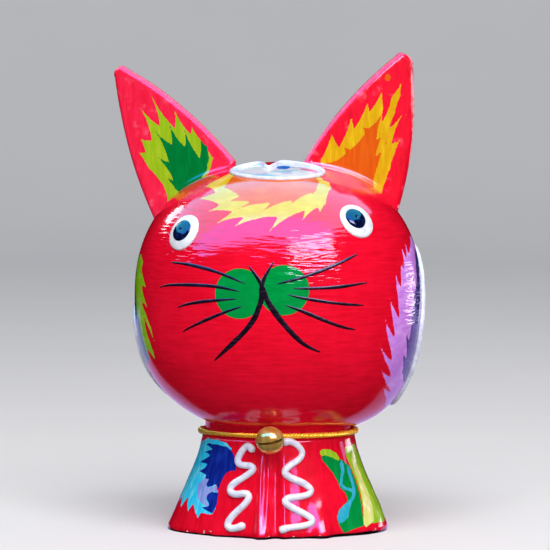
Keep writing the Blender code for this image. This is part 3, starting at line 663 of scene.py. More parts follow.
ear = {  # feet, roots and tips are right and up in the face's frame
    "turn": 20.0, "thickness": 3.2, "edgeRound": 1.45, "setBack": 2.0, "pivot": (22.4, 33.0),
    "outerFoot": (34.3, 21.8), "outerTip": (41.7, 68.2), "outerBulge": 2.4,
    "innerFoot": (9.2, 39.4), "innerTip": (39.2, 71.0), "innerBulge": 2.2,
    "innerRoot": (13.2, 28.0), "outerRoot": (27.4, 17.0),
    "tipCap": 1.85, "tipStart": 0.95, "capWidth": 0.9, "capThickness": 0.8,  # the last two are powers
    "filletHeight": 1.1, "filletThickness": 0.6,
    "roundedShare": 0.45, "edgeThickness": 0.9,  # of the width at most, and of the thickness at least
    "rows": 120, "rootRows": 10, "capRows": 8, "faceColumns": 58, "edgeColumns": 9,
    "wave": (5.0, 0.1), "waveSize": 40.0,
    # The last number of each side is how wide the painted highlight along its rim is, in millimetres
    "left": {"lean": -0.7, "length": 0.97, "seed": 41, "outerTipShift": (0.0, 0.0), "paintedRimHighlight": 1.7},
    "right": {"lean": 5.7, "length": 1.03, "seed": 43, "outerTipShift": (-0.5, 1.8), "paintedRimHighlight": 0.6},
    "rimHighlightFrom": (8.0, 20.0),  # millimetres up over which the rim's painted highlight grows in
}
earSplashes = {  # corners are millimetres outwards and up from the ear's pivot, on its front
    "right": {
        "limeBrush": {"bow": 0.05, "corners": [
            (15.4, 24.4), (9.5, 18.9), (12.0, 28.4), (4.6, 18.0), (4.6, 23.6), (-0.2, 16.1), (-0.7, 18.4),
            (-4.6, 13.0), (-7.1, 9.1), (-6.1, 6.5), (-5.4, 4.7), (-3.0, 2.5), (4.4, -0.7), (8.1, -3.2),
            (8.9, 0.6), (10.7, 3.6), (13.8, 7.0), (17.0, 11.9), (14.5, 11.5), (15.9, 15.6), (12.2, 14.9)]},
        "greenBrush": {"bow": 0.05, "corners": [
            (11.2, 17.8), (5.9, 13.4), (6.5, 19.3), (1.7, 12.4), (2.1, 18.7), (-2.7, 9.2), (-3.4, 14.5),
            (-5.5, 12.3), (-5.8, 9.1), (-4.8, 5.4), (-2.7, 2.8), (4.0, -0.4), (5.6, 0.8), (10.2, 5.7),
            (5.9, 3.1), (11.6, 11.0), (7.3, 8.5)]},
    },
    "left": {
        "yellowBrush": {"bow": 0.05, "corners": [
            (-9.3, 6.7), (-5.4, 14.5), (-3.5, 10.3), (0.7, 19.0), (1.3, 15.3), (5.7, 23.1), (6.1, 19.9),
            (10.3, 26.3), (10.2, 20.8), (9.6, 16.6), (13.0, 24.0), (16.4, 28.4), (15.5, 24.0),
            (13.6, 19.0), (11.6, 14.8), (16.9, 20.2), (12.1, 10.5), (14.9, 11.6), (12.9, 7.5),
            (11.3, 3.3), (9.8, -0.2), (8.2, -3.8), (4.9, -2.2), (-1.0, 1.4), (-8.1, 3.4)]},
        "orangeBrush": {"bow": 0.05, "corners": [
            (-8.8, 6.1), (-4.6, 6.5), (-1.5, 8.6), (-2.3, 10.6), (-0.3, 9.4), (4.4, 13.8), (3.8, 15.7),
            (5.7, 15.3), (10.0, 19.4), (7.7, 11.7), (10.3, 14.5), (7.1, 6.8), (12.2, 13.6), (7.8, 4.7),
            (5.9, -2.2), (-1.0, 1.4), (-8.1, 3.4)]},
        "yellowDot": {"bow": -0.1, "corners": [
            (12.9, 29.4), (12.4, 30.3), (11.6, 30.3), (11.1, 29.4), (11.6, 28.5), (12.4, 28.5)]},
    },
}


def shallowArc(start, end, bulge, shares):
    # From start to end, standing off its chord to the right of the way it runs by 4 s (1 - s) of the bulge
    chord = np.subtract(end, start)
    off = np.array([chord[1], -chord[0]]) / np.hypot(*chord)
    return start + chord * shares[:, None] + off * (4 * bulge * shares * (1 - shares))[:, None]


def plateSection():
    # Round a flat plate: a face, a half-round edge, the other face, the other edge. The first number runs
    # -1 to 1 across the faces, the other two are the edge rounding's share outwards and forwards.
    flat = np.linspace(-1, 1, ear["faceColumns"], endpoint=False)
    bend = np.linspace(0, np.pi, ear["edgeColumns"], endpoint=False)
    across = np.concatenate([flat, np.ones_like(bend), -flat, -np.ones_like(bend)])
    outwards = np.concatenate([np.zeros_like(flat), np.sin(bend), np.zeros_like(flat), -np.sin(bend)])
    forwards = np.concatenate([np.ones_like(flat), np.cos(bend), -np.ones_like(flat), -np.cos(bend)])
    return across, outwards, forwards


def earEdges(hand):
    # The outer and inner edges from root to tip, the plate's thinning along them, and the cap's last point
    shares = np.linspace(0, ear["tipStart"], ear["rows"])
    outerTip = np.add(ear["outerTip"], hand["outerTipShift"])
    outer = shallowArc(ear["outerFoot"], outerTip, ear["outerBulge"], shares)
    inner = shallowArc(ear["innerFoot"], ear["innerTip"], -ear["innerBulge"], shares)
    rootShares = np.linspace(0, 1, ear["rootRows"], endpoint=False)
    outer = np.concatenate([shallowArc(ear["outerRoot"], outer[0], 0.0, rootShares), outer])
    inner = np.concatenate([shallowArc(ear["innerRoot"], inner[0], 0.0, rootShares), inner])
    # The tip closes as a rounded cap past the last section
    bend = np.linspace(0, np.pi / 2, ear["capRows"] + 2)[1:-1]
    middle = (outer[-1] + inner[-1]) / 2
    half = (outer[-1] - inner[-1]) / 2
    onwards = unit(unit(outer[-1] - outer[-2]) + unit(inner[-1] - inner[-2]))
    capMiddle = middle + onwards * (ear["tipCap"] * np.sin(bend))[:, None]
    capHalf = half * (np.cos(bend) ** ear["capWidth"])[:, None]
    slimming = np.concatenate([np.ones(len(outer)), np.cos(bend) ** ear["capThickness"]])
    outer = np.concatenate([outer, capMiddle + capHalf])
    inner = np.concatenate([inner, capMiddle - capHalf])
    return outer, inner, slimming, middle + onwards * ear["tipCap"]


def makeEar(side, material):
    # A plate section carried along the two edges, leant and turned about the pivot, thicker by the head
    hand = ear[side]
    pivot = np.array(ear["pivot"])
    outer, inner, slimming, capPoint = earEdges(hand)
    across, outwards, forwards = plateSection()
    width = np.linalg.norm(outer - inner, axis=1)
    rounding = np.minimum(ear["edgeRound"], width * ear["roundedShare"]) * slimming
    flatHalf = width / 2 - rounding
    reach = across * flatHalf[:, None] + outwards * rounding[:, None]
    middles = (outer + inner) / 2
    flat = middles[:, None] + unit(outer - inner)[:, None] * reach[..., None]
    lean = np.radians(hand["lean"])
    turn = np.radians(ear["turn"])
    mirror = 1.0 if side == "left" else -1.0

    def inPlane(places):
        # Sideways and up from the pivot in the ear's own plane, after its stretch and lean
        along, tall = np.moveaxis((places - pivot) * (1.0, hand["length"]), -1, 0)
        sideways = along * np.cos(lean) + tall * np.sin(lean)
        return sideways / np.cos(turn), tall * np.cos(lean) - along * np.sin(lean)

    def onHead(sideways, upwards, forward):
        # From the ear's plane to the face's frame, and from there to the leaning head
        x = pivot[0] + sideways * np.cos(turn) + forward * np.sin(turn)
        y = ear["setBack"] + sideways * np.sin(turn) - forward * np.cos(turn)
        face = np.stack([x * mirror, y, pivot[1] + upwards + np.zeros_like(x)], -1)
        return face @ rollMatrix.T

    sideways, upwards = inPlane(flat)
    middlePlane = onHead(sideways, upwards, np.zeros_like(sideways))
    above = np.maximum(headForm(middlePlane) - 1, 0) * head["radius"]
    fillet = ear["filletThickness"] * bellCurve(above, ear["filletHeight"])
    thick = (ear["thickness"] / 2 + fillet) * slimming[:, None]
    edgePart = thick - rounding[:, None] * (1 - np.abs(forwards))
    edgePart = np.maximum(edgePart, thick * ear["edgeThickness"])
    forward = np.where(np.abs(forwards) == 1, thick, edgePart) * forwards
    uneven = handMade(middlePlane / ear["waveSize"], hand["seed"], *ear["wave"]) * slimming[:, None]
    places = onHead(sideways, upwards, forward + uneven) + headCentre
    ends = [onHead(*inPlane(point), np.float64(0.0)) + headCentre for point in (middles[0], capPoint)]

    marks = {}
    for name, splash in earSplashes[side].items():
        inside = insideDistance(sideways, upwards, bowedOutline(splash["corners"], splash["bow"]))
        marks[name] = np.where(forwards > 0, inside, -markReach)
    # A pale band along the rim, growing in above the foot: a painted highlight, for the sky that the rounded
    # edge reflects
    fromRim = (flatHalf + rounding)[:, None] - reach
    low, high = ear["rimHighlightFrom"]
    grown = np.clip((upwards - low) / (high - low), 0, 1)
    marks["paintedRimHighlight"] = np.clip(hand["paintedRimHighlight"] * grown - fromRim, -markReach, markReach)
    return skin(side + "Ear", places, ends, material, marks)


# Raised lines of thick paint

piping = {
    "radius": 0.95, "lift": 0.2, "sides": 14, "spacing": 0.45, "wider": 1.02,
    "waveSize": 3.0, "wave": (1.2, 0.07),
    "blob": 0.22, "blobWidth": 1.6,  # how much a leg's bead swells near its ends, and over what length
    "endRound": 0.95, "endCut": 0.97, "endPoint": 0.12,  # its rounded ends, as shares of the radius
    "wander": 0.12, "wanderSize": 8.0,  # how far a heart's bead strays from its outline, and how slowly
}


def bead(name, line, normals, closed, material, radius, seed, blob=0.0):
    # A round bead carried along the line; the hand's pressure makes it swell and shrink a little
    tangents, sideways, upwards, run = acrossLine(line, normals, closed)
    size = radius * (1 + handMade(line / piping["waveSize"], seed, *piping["wave"]))
    ends = None
    if not closed:
        fromEnd = np.minimum(run, run[-1] - run)
        size = size * (1 + blob * bellCurve(fromEnd - radius, radius * piping["blobWidth"]))
        closeness = np.clip(1 - fromEnd / (radius * piping["endRound"]), 0, piping["endCut"])
        size = size * np.sqrt(1 - closeness**2)
        ends = line[[0, -1]] + tangents[[0, -1]] * radius * np.array([[-1.0], [1.0]]) * piping["endPoint"]
    rings = roundRings(line, sideways, upwards, size, piping["sides"], piping["wider"])
    return skin(name, rings, ends, material)


def makeHeartPiping(name, heart, material, seed):
    # A bead round the heart's outline, which strays a little as a hand does
    flat = resample(heartOutline(heart, heartShape["points"]), piping["spacing"], closed=True)
    spots = np.pad(flat, ((0, 0), (0, 1))) / piping["wanderSize"]
    flat = flat + piping["wander"] * np.stack([handMade(spots, seed + step, 1.0, 1.0) for step in (0, 1)], -1)
    line, normals = headSurface(heartWays(heart, flat), heart["lift"])
    return bead(name, line, normals, True, material, heart["bead"], seed)


legSquiggles = {  # degrees round from the front and millimetres up, from the bell to the foot
    "rightLeg": [
        (-12.8, 24.1), (-15.0, 25.0), (-17.3, 25.8), (-19.5, 25.4), (-22.1, 24.3), (-24.6, 22.7),
        (-25.6, 21.3), (-23.7, 20.3), (-19.3, 20.2), (-14.6, 20.2), (-12.5, 19.5), (-13.9, 18.5),
        (-17.9, 17.3), (-23.2, 16.0), (-28.2, 14.6), (-29.7, 13.2), (-27.9, 12.2), (-23.6, 12.0),
        (-19.2, 12.4), (-15.5, 12.4), (-14.7, 11.3), (-16.7, 9.7), (-20.9, 8.1), (-25.3, 6.3),
        (-28.5, 4.5), (-29.1, 3.1), (-26.9, 2.5), (-22.8, 2.7), (-18.8, 3.3), (-16.6, 4.0)],
    "leftLeg": [
        (7.4, 26.7), (11.0, 27.0), (15.1, 26.9), (19.2, 25.9), (22.1, 24.4), (22.4, 23.4), (20.2, 22.1),
        (16.0, 21.1), (11.6, 20.0), (9.0, 19.0), (9.5, 17.9), (13.4, 16.9), (18.4, 16.1), (23.1, 15.2),
        (26.6, 14.0), (27.5, 13.1), (25.5, 12.2), (21.1, 11.8), (15.7, 11.6), (11.2, 11.4), (8.9, 10.8),
        (9.6, 9.9), (13.3, 8.8), (18.4, 7.7), (23.6, 6.4), (26.9, 5.4), (26.8, 4.5), (24.1, 3.9),
        (18.9, 3.5), (13.0, 3.3), (8.7, 3.0), (5.9, 2.4)],
}


def makeLegPiping(name, corners, material, seed):
    # A bead down the skirt along the smoothed corners
    flat = resample(smoothLine(np.array(corners) * (mmPerDegree, 1.0)), piping["spacing"])
    line, normals = skirtSurface(np.radians(flat[:, 0] / mmPerDegree), flat[:, 1], piping["lift"])
    return bead(name, line, normals, False, material, piping["radius"], seed, piping["blob"])


# Eyes: a flat drop of white and a domed drop of black on it

eyes = {
    "left": {"aim": (44.7, 32.5), "pupilShift": (-0.8, 0.25), "seed": 51},
    "right": {"aim": (-39.1, 31.5), "pupilShift": (0.0, 0.0), "seed": 53},
}
# Each drop rises from its base by its height, is sunk below, and is squarer where its fullness is greater
whiteDrop = {"radius": 5.5, "height": 0.95, "base": 0.0, "sunk": -0.5, "fullness": 3.2, "pit": 0.0}
pupilDrop = {"radius": 3.15, "height": 0.85, "base": 0.72, "sunk": 0.3, "fullness": 3.4, "pit": 0.22}
dropShape = {"rows": 34, "columns": 84, "pitWidth": 0.3, "wave": (1.6, 0.014),
             "rowPower": 0.8, "underPower": 4}  # how the rows crowd at the rim, and how flat the underside is


def paintDrop(name, aim, shift, form, material, seed):
    # Rings out over the top and back under: the top stands (1 - r^p)^(1/2) of the height above its base
    top = np.linspace(0, 1, dropShape["rows"])[1:] ** dropShape["rowPower"]
    share = np.concatenate([top, top[::-1][1:]])
    upper = np.arange(len(share)) < len(top)
    shares, angles = np.meshgrid(share, roundAngles(dropShape["columns"]), indexing="ij")
    circle = np.stack([np.cos(angles), np.sin(angles), 0 * angles], -1)
    rim = form["radius"] * (1 + handMade(circle, seed, *dropShape["wave"]))
    towards = rollMatrix @ way(*aim)
    up = unit(np.array([0.0, 0.0, 1.0]) - towards * towards[2])
    across = np.cross(up, towards)
    size = 1.0 / headForm(towards)

    def at(right, upwards, lift):
        # The head's surface along the way to the eye's middle + (right, up) / the head's size
        aside = across * (right + shift[0])[..., None] + up * (upwards + shift[1])[..., None]
        return headSurface(unit(towards + aside / size), lift)[0]

    base, sunk = form["base"], form["sunk"]
    domed = base + form["height"] * np.sqrt(np.maximum(1 - shares ** form["fullness"], 0))
    domed = domed - form["pit"] * bellCurve(shares * form["radius"], dropShape["pitWidth"])
    lift = np.where(upper[:, None], domed, sunk + (base - sunk) * shares ** dropShape["underPower"])
    rings = at(shares * rim * np.cos(angles), shares * rim * np.sin(angles), lift)
    ends = at(np.zeros(2), np.zeros(2), np.array([base + form["height"] - form["pit"], sunk]))
    return skin(name, rings, ends, material)


def makeEye(side, white, black):
    # A flat drop of white and a domed one of black on it
    eye = eyes[side]
    ball = paintDrop(side + "EyeWhite", eye["aim"], (0.0, 0.0), whiteDrop, white, eye["seed"])
    pupil = paintDrop(side + "Pupil", eye["aim"], eye["pupilShift"], pupilDrop, black, eye["seed"] + 1)
    return ball, pupil


# Whiskers and mouth: tapered strokes of black, right and up in the face's own upright plane

strokes = {
    "mouthLeft": {"width": 1.5, "points": [
        (2.9, 13.4), (1.5, 11.2), (0.0, 8.9), (-0.9, 6.1), (-0.8, 3.3), (-1.8, 0.9), (-3.0, -1.9),
        (-5.4, -4.9), (-8.8, -8.0), (-12.2, -10.8), (-15.4, -13.5)]},
    "mouthRight": {"width": 1.5, "points": [
        (-4.2, 12.5), (-0.6, 7.3), (0.3, 2.9), (3.8, -2.8), (7.4, -7.4), (10.2, -10.3), (14.3, -12.5)]},
    "whisker1": {"width": 0.95, "points": [
        (-26.9, 14.0), (-22.6, 13.6), (-17.7, 12.5), (-12.5, 10.9), (-5.2, 7.5)]},
    "whisker2": {"width": 0.95, "points": [
        (-30.8, 7.0), (-27.9, 7.9), (-17.8, 7.6), (-12.7, 7.0), (-6.9, 5.5)]},
    "whisker3": {"width": 0.95, "points": [(-25.4, 1.5), (-22.2, 2.5), (-16.5, 3.2), (-7.8, 3.5)]},
    "whisker4": {"width": 0.95, "points": [(-24.2, -5.3), (-20.7, -3.5), (-11.5, 0.0), (-6.4, 1.4)]},
    "whisker5": {"width": 1.0, "points": [(3.4, 7.1), (10.1, 8.3), (18.8, 11.0), (25.6, 13.9)]},
    "whisker6": {"width": 1.0, "points": [(7.7, 5.6), (11.8, 5.4), (19.3, 5.1), (27.9, 5.8)]},
    "whisker7": {"width": 1.0, "points": [(6.1, 4.1), (9.8, 2.9), (20.3, 0.5), (26.5, -0.4)]},
    "whisker8": {"width": 1.0, "points": [(5.4, 1.2), (9.6, -0.5), (19.6, -5.7), (24.0, -7.0)]},
}
strokeCoat = {"thickness": 0.09, "sunk": 0.25, "sides": 12, "spacing": 0.3, "taper": 0.45, "thinUnder": 0.25,
              "waveSize": 3.0, "wave": (1.5, 0.1)}
frontSearch = {"start": -35.0, "steps": 12}  # millimetres from the head's middle


def faceWay(flat):
    # The way to the point of the head's front that stands right and up by this much, found by steps
    depth = np.full(len(flat), frontSearch["start"])
    for _ in range(frontSearch["steps"]):
        ways = unit(np.stack([flat[:, 0], depth, flat[:, 1]], -1)) @ rollMatrix.T
        depth = ((ways / headForm(ways)[:, None]) @ rollMatrix)[:, 1]
    return unit(np.stack([flat[:, 0], depth, flat[:, 1]], -1)) @ rollMatrix.T


def makeStroke(name, stroke, material, seed):
    # A flat lens of paint carried along a smooth line, narrow at both ends, its underside sunk in the head
    flat = resample(smoothLine(np.array(stroke["points"])), strokeCoat["spacing"])
    line, normals = headSurface(faceWay(flat))
    _, sideways, _, run = acrossLine(line, normals, False)
    share = run / run[-1]
    width = stroke["width"] / 2 * np.clip(4 * share * (1 - share), 0, 1) ** strokeCoat["taper"]
    width = width * (1 + handMade(line / strokeCoat["waveSize"], seed, *strokeCoat["wave"]))
    angle = roundAngles(strokeCoat["sides"])
    rise = np.where(np.sin(angle) > 0, strokeCoat["thickness"], strokeCoat["sunk"]) * np.sin(angle)
    rings = line[:, None] + sideways[:, None] * (width[:, None] * np.cos(angle))[..., None]
    thinning = np.minimum(width[:, None] / strokeCoat["thinUnder"], 1)  # where it is narrower than this
    rings = rings + normals[:, None] * (rise * thinning)[..., None]
    return skin(name, rings[1:-1], line[[0, -1]], material)


# The neck cord: three gold threads twisted together, knotted at the back

cord = {
    "ringRadius": 22.0, "height": 28.3, "frontRise": 0.3,
    "bulge": 0.7, "bulgeWidth": 7.0,  # it stands out at the bell, over so many degrees
    "threads": 3, "threadRadius": 0.34, "twistRadius": 0.43, "turnLength": 2.9, "pointsInTurn": 14,
    "sides": 8, "endTaper": 0.4, "endLeast": 0.25,
    "plumper": [(-84.0, 11.0, 0.45), (96.0, 11.0, 0.3), (-40.0, 22.0, -0.18)],  # angle, spread, share thicker
    "knotSize": 0.42, "knotDepth": 1.3, "knotThread": 0.5, "knotBack": 1.4, "knotPoints": 120,
    "tailStart": 0.8, "tailLength": 7.0, "tailLift": 1.1, "tailPoints": 40,
    "tailFrom": 1.5, "tailSplay": 8.4,  # degrees to each side of the back
}


def cordPlace(angle):
    # Round the neck: (r sin a, -r cos a, h), a little higher in front, r greater there under the bell's loop
    reach = cord["ringRadius"] + cord["bulge"] * bellCurve(wrappedDegrees(angle), cord["bulgeWidth"])
    height = cord["height"] + cord["frontRise"] * np.cos(angle)
    return np.stack([np.sin(angle) * reach, -np.cos(angle) * reach, height], -1)


def twistThreads(name, line, normals, closed, material, size):
    # Each thread circles the line at the twist radius, one third of a turn after the last
    sideways, upwards, run = acrossLine(line, normals, closed)[1:]
    whole = run[-1] + (np.linalg.norm(line[0] - line[-1]) if closed else 0.0)
    turns = max(round(whole / cord["turnLength"]), 1)
    radius = cord["threadRadius"] * size
    if not closed:
        fromEnd = np.minimum(run, run[-1] - run)
        radius = radius * np.clip(fromEnd / cord["endTaper"], cord["endLeast"], 1)
    pieces = []
    for thread in range(cord["threads"]):
        phase = 2 * np.pi * (turns * run / whole + thread / cord["threads"])
        offset = sideways * np.cos(phase)[:, None] + upwards * np.sin(phase)[:, None]
        path = line + offset * (cord["twistRadius"] * size)[:, None]
        pieces.append(tubeSkin(f"{name}Thread{thread + 1}", path, offset, radius, closed, material))
    return pieces


def tubeSkin(name, path, normals, radius, closed, material):
    # A round tube along the path
    rings = roundRings(path, *acrossLine(path, normals, closed)[1:3], radius, cord["sides"])
    return skin(name, rings, None if closed else path[[0, -1]], material)


def makeCord(material):
    # The ring of twisted threads, a knot behind and two tails that hang from it
    count = int(2 * np.pi * cord["ringRadius"] / cord["turnLength"] * cord["pointsInTurn"])
    angle = roundAngles(count)
    ring = cordPlace(angle)
    degrees = wrappedDegrees(angle)
    size = 1 + sum(thicker * bellCurve(degrees - place, spread) for place, spread, thicker in cord["plumper"])
    pieces = twistThreads("cord", ring, unit(ring * (1, 1, 0)), True, material, size)
    back = cordPlace(np.pi) + (0.0, cord["knotBack"], 0.0)
    # The knot is a trefoil: (sin t + 2 sin 2t, -d sin 3t, cos t - 2 cos 2t)
    t = roundAngles(cord["knotPoints"])
    trefoil = np.stack([np.sin(t) + 2 * np.sin(2 * t), -np.sin(3 * t) * cord["knotDepth"],
                        np.cos(t) - 2 * np.cos(2 * t)], -1)
    path = back + trefoil * cord["knotSize"]
    thickness = np.full(len(t), cord["knotThread"])
    pieces.append(tubeSkin("cordKnot", path, unit(trefoil), thickness, True, material))
    share = np.linspace(0, 1, cord["tailPoints"])
    for name, side in (("cordTailLeft", -1), ("cordTailRight", 1)):
        tailAngle = np.pi + side * np.radians(cord["tailFrom"] + cord["tailSplay"] * share)
        height = back[2] - cord["tailStart"] - cord["tailLength"] * share
        line, normals = skirtSurface(tailAngle, height, cord["tailLift"])
        pieces += twistThreads(name, line, normals, False, material, np.ones(len(share)))
    return pieces


# The bell: two crimped halves, a slot between two round holes, and a wire loop

bell = {  # millimetres and degrees
    "radius": 3.85, "wall": 0.4, "slotWidth": 0.7, "holeRadius": 0.8, "dip": 8.0, "slotTurn": 10.0,
    "seamRise": 0.14, "seamWidth": 4.5, "seamWander": 1.2, "seamWaves": 3,
    "grooveAngle": 7.0, "grooveWidth": 2.0, "grooveShare": 0.6,  # the dip beside the seam
    "loopRadius": 1.2, "loopWire": 0.25, "loopSunk": 0.15, "loopForward": 0.05, "loopPoints": 24,
    "columns": 96, "rows": 60, "holePoints": 30, "sharpFrom": 35.0,
    "columnTurn": 0.01,  # radians, so that no column lies in the slot's middle
    "cutReach": 1.5,  # radii, so that the slot is cut right through
}


def placedBell():
    # The bell is made upright, slot below, then turned about its axis and leant until the slot is in front
    lean = Matrix.Rotation(np.radians(bell["dip"] - 90.0), 3, "X")
    turned = lean @ Matrix.Rotation(-np.radians(bell["slotTurn"]), 3, "Z")
    loopHeight = bell["radius"] + bell["loopRadius"] - bell["loopSunk"]
    loopMiddle = cordPlace(0.0) - (0.0, bell["loopForward"], 0.0)
    centre = loopMiddle - np.array(turned) @ (0.0, 0.0, loopHeight)
    return np.array(lean), np.array(turned), centre, loopHeight


def cutBell(shell, cutters):
    # The keyhole slot and then the hollow are cut out, and the result is kept as the shell's own mesh
    for cutter in cutters:
        cut = shell.modifiers.new("cut", "BOOLEAN")
        cut.operation = "DIFFERENCE"
        cut.object = cutter
    graph = bpy.context.evaluated_depsgraph_get()
    mesh = bpy.data.meshes.new_from_object(shell.evaluated_get(graph))
    shell.modifiers.clear()
    shell.data = mesh
    for cutter in cutters:
        bpy.data.objects.remove(cutter, do_unlink=True)
    mesh.set_sharp_from_angle(angle=np.radians(bell["sharpFrom"]))


def makeBell(material):
    # A ball with a crimped seam, less the keyhole slot and its hollow, and a wire loop
    lean, turned, centre, loopHeight = placedBell()

    def turnedSkin(name, rings, ends):
        # The skin of upright rings after the turn and the move to the bell's middle
        return skin(name, rings @ turned.T + centre, np.array(ends) @ turned.T + centre, material)

    def ball(name, radius, bulge):
        # r (sin p cos a, sin p sin a, cos p), where r swells at the seam and dips beside it
        polar = np.linspace(0, np.pi, bell["rows"] + 2)[1:-1]
        columns = roundAngles(bell["columns"]) + bell["columnTurn"]
        polars, angles = np.meshgrid(polar, columns, indexing="ij")
        fromSeam = np.degrees(polars) - 90.0 - bell["seamWander"] * np.sin(bell["seamWaves"] * angles)
        groove = bell["grooveShare"] * bellCurve(fromSeam - bell["grooveAngle"], bell["grooveWidth"])
        radii = radius + bulge * (bellCurve(fromSeam, bell["seamWidth"]) ** 2 - groove)
        level = np.sin(polars)
        ways = np.stack([level * np.cos(angles), level * np.sin(angles), np.cos(polars)], -1)
        return turnedSkin(name, radii[..., None] * ways, [(0.0, 0.0, radius), (0.0, 0.0, -radius)])

    # A keyhole outline, a round above a straight slot, carried right through the lower half
    reach = bell["radius"] * bell["cutReach"]
    hole = bell["holeRadius"]
    half = bell["slotWidth"] / 2
    foot = np.arcsin(half / hole)
    bend = np.linspace(foot - np.pi / 2, 3 * np.pi / 2 - foot, bell["holePoints"])
    y = np.concatenate([np.cos(bend) * hole, [-half, half]])
    z = np.concatenate([(np.sin(bend) - 1) * hole, [-2 * bell["radius"]] * 2])
    prism = np.stack([np.stack([np.full_like(y, x), y, z], -1) for x in (-reach, reach)])
    keyhole = turnedSkin("keyhole", prism, [(-reach, 0.0, -hole), (reach, 0.0, -hole)])
    shell = ball("bellShell", bell["radius"], bell["seamRise"])
    cutBell(shell, [keyhole, ball("hollow", bell["radius"] - bell["wall"], 0.0)])

    angle = roundAngles(bell["loopPoints"])
    wide = bell["loopRadius"]
    ring = np.stack([0 * angle, np.cos(angle) * wide, np.sin(angle) * wide + loopHeight], -1)
    ring = ring @ lean.T + centre
    thickness = np.full(len(angle), bell["loopWire"])
    wire = tubeSkin("bellLoop", ring, unit(ring - ring.mean(axis=0)), thickness, True, material)
    return shell, wire


# Finishes

redEnamel = {
    "cloud": 0.045, "mottle": 0.35, "detail": 3.0, "strokeRoughness": 0.6,  # noises that the red varies by
    "shares": (0.75, 0.5, 0.25), "turn": (0.42, 1.0),  # of strokes, cloud and mottle, and where the red turns
    "splashTurn": (0.4, 0.75), "splashSoftness": 0.035,
    "roughNoise": 0.5, "roughness": 0.12, "roughSpread": 0.12, "fineGrain": (2.2, 0.004),
    "brushedRidge": 0.3, "brushedStrokes": (0.2, 0.2, 1.25), "brushedGloss": 0.6,  # in the brushed patches
}
reds = (shade(214, 6, 32), shade(246, 14, 50))
# Stroke noise along x, y and z, ragged edges as noise and depth, ridge depth, and splashes from the lowest up
enamels = {
    "head": {"reds": reds, "strokes": (0.12, 0.12, 1.5), "edge": (1.3, 0.45), "ridge": 0.02, "splashes": {
        "yellowFlame": "yellow", "orangeFlame": "orange", "lilacSpray": "lilac", "violetSpray": "violet",
        "limeSpray": "lime", "tealSpray": "teal"}},
    "leftEar": {"reds": reds, "strokes": (0.9, 0.3, 0.14), "edge": (1.2, 0.5), "ridge": 0.028, "splashes": {
        "yellowBrush": "earYellow", "orangeBrush": "earOrange", "yellowDot": "earOrange"}},
    # The right ear's red is paler and pinker than the rest: painted sheen, for the light that its front
    # reflects
    "rightEar": {"reds": (shade(240, 22, 56), shade(255, 44, 84)), "strokes": (0.9, 0.3, 0.14),
                 "edge": (1.2, 0.5), "ridge": 0.028, "splashes": {
                     "limeBrush": "earLime", "greenBrush": "green"}},
    "skirt": {"reds": reds, "strokes": (0.7, 0.7, 0.12), "edge": (1.0, 0.36), "ridge": 0.03, "splashes": {
        "cyanSplash": "cyan", "blueUpper": "blue", "blueLower": "blue", "paleDab": "paleBlue",
        # The pale shine on the lime is a painted highlight, and the rosy streak is painted sheen
        "leafLime": "leafLime", "paintedLimeHighlight": "paintedLimeHighlight", "leafGreen": "leafGreen", "limeEdge": "leafLime",
        "leafTeal": "leafTeal", "paintedSheenStreak": "paintedSheen"}},
}
paints = {
    "yellow": (shade(216, 190, 10), shade(232, 212, 60)),
    "orange": (shade(224, 96, 6), shade(230, 116, 34)),
    "earYellow": (shade(214, 160, 0), shade(226, 196, 10)),
    "earOrange": (shade(214, 84, 0), shade(224, 98, 2)),
    "lilac": (shade(218, 140, 244), shade(234, 168, 252)),
    "violet": (shade(72, 54, 134), shade(100, 82, 168)),
    "lime": (shade(142, 204, 24), shade(172, 218, 60)),
    "teal": (shade(10, 120, 110), shade(30, 150, 140)),
    "earLime": (shade(150, 192, 24), shade(176, 204, 44)),
    "green": (shade(0, 122, 52), shade(0, 138, 62)),
    "noseGreen": (shade(0, 140, 62), shade(2, 152, 70)),
    "cyan": (shade(36, 206, 255), shade(128, 236, 255)),
    "blue": (shade(12, 34, 140), shade(24, 62, 184)),
    "paleBlue": (shade(128, 150, 232), shade(164, 182, 244)),
    "leafGreen": (shade(0, 136, 58), shade(12, 150, 72)),
    "leafLime": (shade(150, 200, 30), shade(196, 216, 84)),
    "leafTeal": (shade(44, 166, 196), shade(78, 190, 218)),
    # Pale yellow for the painted highlight on the skirt's lime
    "paintedLimeHighlight": (shade(224, 224, 122), shade(255, 255, 214)),
    # Pink for the painted sheen on the skirt's side
    "paintedSheen": (shade(244, 96, 150), shade(246, 150, 196)),
    "white": (shade(226, 232, 244), shade(240, 243, 250)),
}
# The two pinks are for the ears: paler patches, and a painted highlight along their rims
singlePaints = {
    "cyanDab": shade(120, 214, 236), "lilacDab": shade(196, 176, 232), "blueSpot": shade(36, 116, 214),
    "redSpot": shade(214, 60, 90), "pinkPatch": shade(255, 150, 176), "rimHighlight": shade(250, 186, 200),
    "chip": shade(226, 222, 222), "sole": shade(22, 16, 20),
}


def startEnamel(name):
    # Brushed red, its strokes a little lighter and darker, with the noises of its strokes and ragged edges
    look = enamels[name]
    paint = Finish(name + "Enamel")
    detail = redEnamel["detail"]
    strokes = paint.noise(look["strokes"], detail, redEnamel["strokeRoughness"])
    scale, depth = look["edge"]
    edge = (paint.noise(scale) - 0.5) * depth
    cloud = paint.noise(redEnamel["cloud"], detail)
    mottle = paint.noise(redEnamel["mottle"], detail)
    byStroke, byCloud, byMottle = redEnamel["shares"]
    share = (strokes * byStroke + cloud * byCloud + mottle * byMottle).rise(*redEnamel["turn"])
    return paint, strokes, edge, paint.over(*look["reds"], share)


